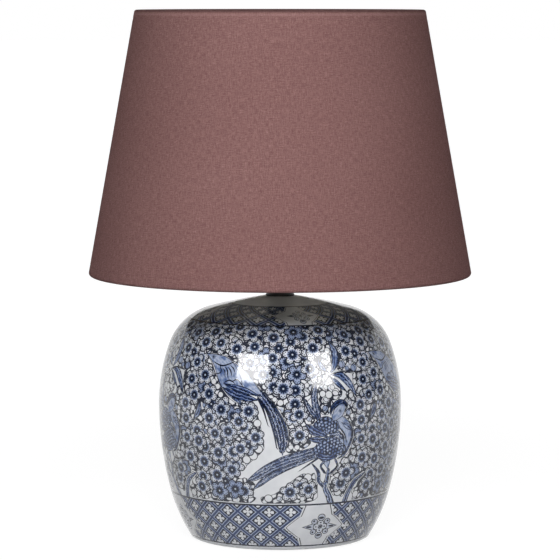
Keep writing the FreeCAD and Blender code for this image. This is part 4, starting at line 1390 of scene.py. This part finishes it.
def makeSpider():
    # bent wires, each welded under the fitter and to the bottom wire, and the fitter itself
    radius, low, high = span("shade_fitter_ring")
    bore = spider["fitterBore"]
    fitter = softened([(bore, low), (radius, low), (radius, high), (bore, high)], spider["fitterSoft"])
    add(solid("fitter_ring", spun(fitter, 128)), whitePaint, "shade", "wire_white", "shade_fitter_ring")
    start, end = np.array([spider["start"], (low + high) / 2]), np.array(shade["bottom"])
    t = np.linspace(0, 1, 40)
    reach, level = [a + (b - a) * t for a, b in zip(start, end)]
    # a weld swells the wire near each end: (share of the way, width)
    weld = sum(np.exp(-((t - at) / wide) ** 2) for at, wide in ((0.006, 0.012), (0.985, 0.010)))
    wires = []
    for number in range(spider["arms"]):
        angle = math.radians(90 + number * 360 / spider["arms"])
        # a bow of under a millimetre, from welding
        bow = spider["bow"] * np.sin(math.pi * t) ** 2 * (0.4 + 0.3 * number)
        path = np.column_stack([reach * math.cos(angle), reach * math.sin(angle), level + bow])
        wires.append(tube(path, spider["wire"] + spider["weld"] * weld, 16))
    arms = solid("spider_wires", wires, closedRows=False)
    add(arms, whitePaint, "shade", "wire_white", "shade_spider_arms")
    print("spider made")


makeSpider()

bulb = dict(
    root=12.2,
    capBore=11.6,
    threadLength=15.2,
    pitch=3.62,
    dent=0.12,
    neck=14.2,
    wide=27.5,
    wall=1.5,
    bodyBow=90.0,
    ridge=0.18,
    ridges=12,
)


def bulbThread():
    # the screw cap's tube with a rolled thread, as a rounded wave, and a ring of punched dents above it
    radius, low, high = span("bulb_screw_cap")
    root, bore = bulb["root"], bulb["capBore"]
    threadTop = low + bulb["threadLength"]
    outer = np.array([(root, z) for z in np.arange(low, high + 0.01, 0.24)])
    cap = np.vstack([outer, [(bore, high), (bore, low)]])

    def roll(angles, points):
        height = points[:, 1:2]
        turn = (height - low) / bulb["pitch"] - angles / (2 * math.pi)
        wave = np.clip(np.cos(2 * math.pi * turn) * 0.62 + 0.5, 0, 1) ** 0.8
        held = np.clip((height - low - 0.8) / 1.5, 0, 1) * np.clip((threadTop - height) / 1.5, 0, 1)
        dents = bulb["dent"] * (np.abs(height - high + 4.5) < 0.9) * (np.cos(angles * 12) > 0.9)
        return ((radius - root) * wave * held - dents) * (points[:, :1] > bore + 0.3)

    return solid("bulb_thread", spun(cap, 120, roll), sharp=50)


def bulbBody():
    # a hollow body whose side is an arc, with shallow ridges along its middle
    _, low, waist = span("bulb_housing")
    neckSize, wide, wall, bore = bulb["neck"], bulb["wide"], bulb["wall"], bulb["capBore"]
    outside = arcPoints((neckSize, low), (wide, waist), bulb["bodyBow"], 1.5, -1)
    inside = arcPoints((wide - wall, waist), (neckSize - wall, low + wall), bulb["bodyBow"], 4.0, 1)
    housing = np.vstack([[(bore, low)], outside, inside, [(bore, low + wall)]])
    onSide = np.arange(len(housing))[:, None] <= len(outside)

    def ridge(angles, points):
        share = np.clip((points[:, 1:2] - low - 6) / (waist - low - 14), 0, 1)
        return bulb["ridge"] * np.abs(np.sin(angles * bulb["ridges"])) * np.sin(math.pi * share) * onSide

    return solid("bulb_body", spun(housing, 192, ridge), sharp=50)


def bulbDome():
    # a hollow ball cut off at the body: one arc up its outside, and another down its inside
    ball, base, top = span("bulb_globe")
    centre = top - ball
    arcs = []
    for radius, count in ((ball, 40), (ball - bulb["wall"], 20)):
        angles = np.linspace(math.asin((base - centre) / radius), math.pi / 2, count)
        arc = np.column_stack([np.cos(angles) * radius, np.sin(angles) * radius + centre])
        arc[-1, 0] = 0.0
        arcs.append(arc)
    globe = np.vstack([arcs[0], arcs[1][::-1]])
    return solid("bulb_dome", spun(globe, 128), sharp=50)


def makeBulb():
    add(bulbThread(), capMetal, "bulb", "bulb_cap_metal", "bulb_screw_cap")
    add(bulbBody(), bulbPlastic, "bulb", "bulb_white", "bulb_housing")
    add(bulbDome(), opal, "bulb", "bulb_opal", "bulb_globe")
    print("bulb made")


makeBulb()
